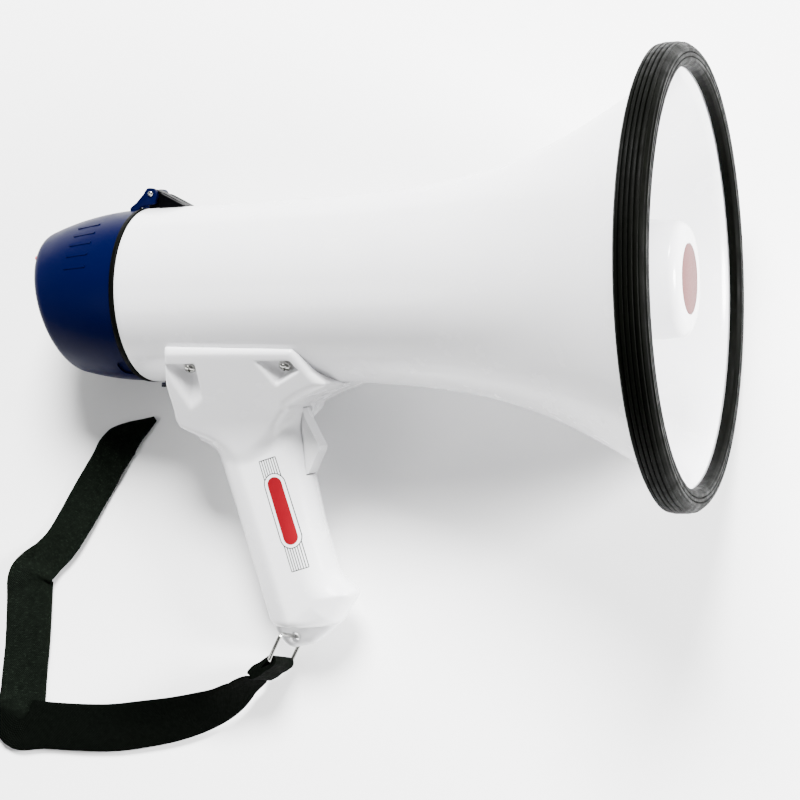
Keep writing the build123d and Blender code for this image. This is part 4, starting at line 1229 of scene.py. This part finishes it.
def handle_field(x, y, z, side, outlines):
    """Signed distance to one half of the handle, in millimetres, y being the distance from its seam."""
    across = outline_distance(*np.broadcast_arrays(y, z), SADDLE_END)
    above = outline_distance(*np.broadcast_arrays(x, y), SADDLE_TOP)
    saddle = meet(meet(meet(outlines[0], across, 4), above, 3), outlines[2], 1.5)
    flank = np.abs(y) - GRIP_HALF + GRIP_EDGE
    profile = outlines[1] + GRIP_EDGE
    beyond = np.hypot(np.maximum(profile, 0), np.maximum(flank, 0))
    grip = np.minimum(np.maximum(profile, flank), 0) + beyond - GRIP_EDGE
    whole = unite(saddle, grip, 7.5)
    for front in (False, True):
        whole = carve(whole, pocket(x, y, z, front), 1.0)
    whole = carve(whole, np.maximum(z - LUG_TOP, LUG_HALF - y), 4.0)
    horn = np.hypot(y, z) - horn_radius(x) - 0.1
    shell = meet(carve(whole, horn, 0.5), -(whole + HANDLE_WALL))
    shell = carve(shell, block(x, y, z, *TRIGGER_SLOT), 0.8)
    shell = carve(shell, block(x, y, z, *MUSIC_ROOM))
    shell = carve(shell, np.hypot(x - STRAP_HOLE[0], z - STRAP_HOLE[1]) - 2.5, 0.8)
    if side > 0:
        for u, v in GRIP_SCREWS:
            shell = carve(shell, np.maximum(np.hypot(x - u, z - v) - 3.6, 9 - y), 0.6)
    shell = carve(shell, key_wells(x, y, z, side))
    return meet(shell, 0.06 - y)


def side_outlines(x, z):
    """Distances to the side outlines of the saddle and the grip."""
    rounds = rounded(SADDLE_SIDE, SADDLE_ROUND, 6), rounded(GRIP_OUTLINE, GRIP_ROUND, 8)
    return [outline_distance(x, z, outline) for outline in rounds]


def rear_slant(x, y, z):
    """Distance to the saddle's rear face, which slants forward to both sides."""
    line = np.array(rounded(SADDLE_SIDE, SADDLE_ROUND, 6))
    line = line[(line[:, 0] < 52) & (line[:, 1] > -82)]
    line = line[np.argsort(line[:, 1])]
    rear = np.interp(z, line[:, 1], line[:, 0])
    slope = np.interp(z, line[:, 1], np.gradient(line[:, 0], line[:, 1]))
    beside = np.abs(y) - REAR_FLAT
    beside = (beside + np.sqrt(beside * beside + 6)) / 2
    return (rear + REAR_SLANT * beside - x) / np.sqrt(1 + REAR_SLANT**2 + slope**2)


def net_points(values, low, cell):
    """A point in each cell that the surface passes through, and the grid of the points' numbers."""
    shape = np.array(values.shape) - 1
    total = np.zeros((*shape, 3))
    count = np.zeros(shape)
    for axis in range(3):
        others = [other for other in range(3) if other != axis]
        for corner in ((0, 0), (0, 1), (1, 0), (1, 1)):
            first = [slice(0, -1)] * 3
            for other, start in zip(others, corner):
                first[other] = slice(start, start + shape[other])
            second = list(first)
            second[axis] = slice(1, None)
            a, b = values[tuple(first)], values[tuple(second)]
            crossed = (a < 0) != (b < 0)
            share = np.where(crossed, a / np.where(crossed, a - b, 1), 0)
            count += crossed
            total[..., axis] += share
            for other, start in zip(others, corner):
                total[..., other] += start * crossed
    used = count > 0
    index = np.full(shape, -1)
    index[used] = np.arange(used.sum())
    return (np.argwhere(used) + total[used] / count[used][:, None]) * cell + low, index


def net_faces(inside, index):
    """A quad across each step of the grid that goes from inside to outside."""
    shape = index.shape
    faces = []
    for axis in range(3):
        b, c = [(axis + 1) % 3, (axis + 2) % 3]
        here, there = [slice(None)] * 3, [slice(None)] * 3
        here[axis], there[axis] = slice(0, -1), slice(1, None)
        starts = inside[tuple(here)]
        spots = np.argwhere(inside[tuple(there)] != starts)
        spots = spots[(spots[:, b] > 0) & (spots[:, c] > 0)]
        spots = spots[(spots[:, b] < shape[b]) & (spots[:, c] < shape[c])]
        quad = []
        for back_b, back_c in ((1, 1), (0, 1), (0, 0), (1, 0)):
            at = spots.copy()
            at[:, b] -= back_b
            at[:, c] -= back_c
            quad.append(index[tuple(at.T)])
        quad = np.stack(quad, -1)
        turned_over = ~starts[tuple(spots.T)]
        quad[turned_over] = quad[turned_over][:, ::-1]
        faces.append(quad)
    return np.concatenate(faces)


def settled(points, field, cell, rounds=3):
    """Move points onto the surface itself, along the field's slope."""
    for _ in range(rounds):
        value = field(points)
        slope = []
        for axis in range(3):
            step = np.zeros(3)
            step[axis] = 0.02
            slope.append((field(points + step) - field(points - step)) / 0.04)
        slope = np.stack(slope, -1)
        size = np.maximum((slope ** 2).sum(1), 0.25)
        move = slope * (value / size)[:, None]
        far = np.linalg.norm(move, axis=1)
        move *= np.minimum(1, 0.45 * cell / np.maximum(far, 1e-9))[:, None]
        points = points - move
    return points


def make_handle():
    """Both halves of the moulded grip, which meet at a fine seam."""
    x, y, z = [low + CELL * np.arange(int(span / CELL)) for low, span in zip(HANDLE_LOW, HANDLE_SPAN)]
    outlines = side_outlines(*np.meshgrid(x, z, indexing="ij"))
    outlines = [outline[:, None, :] for outline in outlines]
    x, y, z = x[:, None, None], y[None, :, None], z[None, None, :]
    outlines.append(rear_slant(x, y, z))
    for side, name in ((-1, "handle_left"), (1, "handle_right")):
        values = np.broadcast_to(handle_field(x, y, z, side, outlines), (x.size, y.size, z.size))
        points, index = net_points(values, HANDLE_LOW, CELL)
        faces = net_faces(values < 0, index)

        def field(spots):
            flat = [*side_outlines(spots[:, 0], spots[:, 2]), rear_slant(*spots.T)]
            return handle_field(spots[:, 0], spots[:, 1], spots[:, 2], side, flat)

        points = settled(points, field, CELL)
        points[:, 1] *= side
        half = build(name + "_moulding", points, faces, 0.001 * MM)
        finish(half, "root", "shell_white", stands_for=[name], sharp=42)


# ------------------------------------------------------------------ trigger and keys
def make_trigger():
    """The trigger, with a rounded face and a bump for the finger."""
    outline = [(80.2, -60.9), (86.9, -60.9), (88.8, -67), (96.2, -81.2), (95.8, -83.8), (89.8, -95.7),
               (84.7, -95.7), (79.4, -68)]
    rounds = [0.8, 0.8, 12, 1.6, 3, 1.2, 1.2, 4]
    body = slab("trigger_blade", rounded(outline, rounds, 6), SIDE, -5.9, 5.9)
    bore = slab("bore", disc_outline(1.55, 40, TRIGGER_PIVOT), SIDE, -12, 12)
    room = slab("room", disc_outline(5, 48, TRIGGER_PIVOT), SIDE, -3.2, 3.2)
    combine(body, [bore, room])
    soft_edges(body, 1.0, 40, 4)
    finish(body, "trigger_lever", "shell_white", stands_for=["trigger"])


def key_marks(name, u, v):
    """The printed symbol of a music key, read with the grip held up."""
    if name == "mode_button":
        return [arc_band(u, v, 1.45, 0.42, -60, 200, 16), triangle(u + 0.85, v - 1.2, 1.2, 1.2, 1)]
    if name == "pause_button":
        bars = [box_outline(0.55, 2.8, (u + 0.7 + shift, v)) for shift in (0, 1.1)]
        return [triangle(u - 1.1, v, 2.2, 2.8), *bars]
    way = -1 if name == "previous_button" else 1
    return [triangle(u - way * 1.1, v, 1.9, 2.6, way), triangle(u + way * 0.8, v, 1.9, 2.6, way),
            box_outline(0.5, 2.6, (u + way * 2.05, v))]


def make_music_keys():
    """Round keys with a softened edge, almost level with the face, and their printed symbols."""
    for name, (u, v, r) in MUSIC_KEYS.items():
        place = KEY_FACE @ Matrix.Translation((u, v, 0))
        profile = [
            (0, -4.4), (r + 0.9, -4.4), (r + 0.95, -3.7), (r, -3.65), (r, 0.1), (r - 0.12, 0.5),
            (r - 0.5, 0.74), (r - 1.0, 0.76), (r * 0.5, 0.68), (0, 0.66),
        ]
        body = name.replace("button", "key")
        cap = turned(body + "_cap", profile, place, 72)
        finish(cap, body, "key_white", stands_for=[name], sharp=50)
        ink(body + "_mark", key_marks(name, u, v), KEY_FACE, body, "key_white", "ink_black", 0.05, 0.72)
    side, height = MUSIC_PITCH + 1.2, -MODE_DROP - 2.2
    signs = [box_outline(2.0, 0.4, (-side, height)), box_outline(2.0, 0.4, (side, height))]
    signs.append(box_outline(0.4, 2.0, (side, height)))
    ink("music_signs", signs, KEY_FACE, "root", "shell_white", "ink_black", 0.05, 0.0)
    place = KEY_FACE @ Matrix.Translation((*MUSIC_LAMP, 0))
    lamp = turned("music_lamp_lens", [(0, -6.7), (1.2, -6.7), (1.2, -0.2), (0.9, 0.2), (0, 0.35)], place, 40)
    finish(lamp, "root", "lamp_dark", stands_for=["music_lamp"], sharp=60)


# ---------------------------------------------------------------------- grip's label
DECAL_START = Vector((71.15, -87.25))
DECAL_WAY = Vector((0.2855, -0.9584))
DECAL_LENGTH = 59.7
DECAL_HALF = 4.7


def draped(name, patches, target, material, lift=0.05):
    """Thin patches of print laid on the near side of a piece. Each patch is a grid of points
    measured along and across the label."""
    tree = BVHTree.FromObject(target, bpy.context.evaluated_depsgraph_get())
    across = Vector((-DECAL_WAY.y, DECAL_WAY.x))
    turn, back = HORN.to_3x3(), HORN.inverted()
    parts = []
    for patch in patches:
        rows, columns = len(patch), len(patch[0])
        top, low = [], []
        for a, b in (spot for row in patch for spot in row):
            x, z = DECAL_START + DECAL_WAY * a + across * b
            hit, normal = tree.ray_cast(HORN @ (Vector((x, -40, z)) * MM), turn @ Vector((0, 1, 0)))[:2]
            hit, normal = back @ hit, turn.transposed() @ normal
            top.append(hit / MM + normal * lift)
            low.append(hit / MM - normal * 0.1)
        faces = grid_faces(rows, columns, False, False)
        size = rows * columns
        faces += [tuple(size + corner for corner in reversed(face)) for face in faces]
        border = [c for c in range(columns)] + [r * columns + columns - 1 for r in range(1, rows)]
        border += [(rows - 1) * columns + c for c in range(columns - 2, -1, -1)]
        border += [r * columns for r in range(rows - 2, 0, -1)]
        for index, corner in enumerate(border):
            after = border[(index + 1) % len(border)]
            faces.append((after, corner, size + corner, size + after))
        parts.append(build("patch", top + low, faces, 0.0005 * MM))
    return finish(joined(name, parts), "root", "shell_white", material)


def line_patch(a0, a1, b, width, step=1.5):
    count = max(2, int(abs(a1 - a0) / step) + 1)
    along = np.linspace(a0, a1, count)
    return [[(a, b - width / 2), (a, b + width / 2)] for a in along]


def bar_patch(start, stop, half, columns=9):
    """A bar with round ends."""
    turns = np.linspace(0, math.pi / 2, 9)
    first = [(start + half * (1 - math.cos(t)), half * math.sin(t)) for t in turns]
    last = [(stop - half * (1 - math.cos(t)), half * math.sin(t)) for t in turns[::-1]]
    middle = [(a, half) for a in np.linspace(start + half, stop - half, 24)[1:-1]]
    shares = np.linspace(-1, 1, columns)
    return [[(a, max(width, 0.02) * share) for share in shares] for a, width in first + middle + last]


def ring_patch(start, stop, half, width):
    """A thin line round a bar."""
    outline = []
    for end, begin in ((stop - half, -90), (start + half, 90)):
        for step in range(17):
            turn = math.radians(begin + 180 * step / 16)
            outline.append((end, math.cos(turn), math.sin(turn)))
    outline.append(outline[0])
    inner, outer = half - width / 2, half + width / 2
    return [[(a + c * r, s * r) for r in (inner, outer)] for a, c, s in outline]


def make_decal():
    """Fine stripes along the grip behind a plain red bar."""
    handle = bpy.data.objects["handle_left_moulding"]
    start, stop, half = 8.0, 48.0, 5.7
    stripes = []
    for index in range(8):
        b = DECAL_HALF * (-1 + 2 * index / 7)
        inset = half - math.sqrt(half * half - b * b)
        stripes.append(line_patch(0, start + inset, b, 0.46))
        stripes.append(line_patch(stop - inset, DECAL_LENGTH, b, 0.46))
    for a in (0, DECAL_LENGTH):
        stripes.append([[(a - 0.23, b), (a + 0.23, b)] for b in np.linspace(-DECAL_HALF, DECAL_HALF, 7)])
    stripes.append(ring_patch(start, stop, half, 0.48))
    draped("grip_stripes", stripes, handle, "ink_black")
    draped("grip_bar", [bar_patch(start + 1.8, stop - 1.8, half - 1.8)], handle, "ink_red")


# ------------------------------------------------------------------------- all together
def dress_the_rest():
    """Every part whose CAD shape shows keeps it and takes its slot's material."""
    for part in frame["record"]["subparts"]:
        node = NODES[part["node"]]
        node.data.materials.clear()
        node.data.materials.append(MATERIALS[part["material_slot"]])


make_horn()
make_rim()
make_reflector()
make_gasket()
make_cover()
make_label()
make_label_marks()
make_panel_keys()
make_panel_lamps()
make_latch()
make_hinge()
make_screws()
make_handle()
make_decal()
make_trigger()
make_music_keys()
make_ring()
loop = make_loop()
strap, strap_points, strap_length = make_strap()
make_studio()
dress_the_rest()
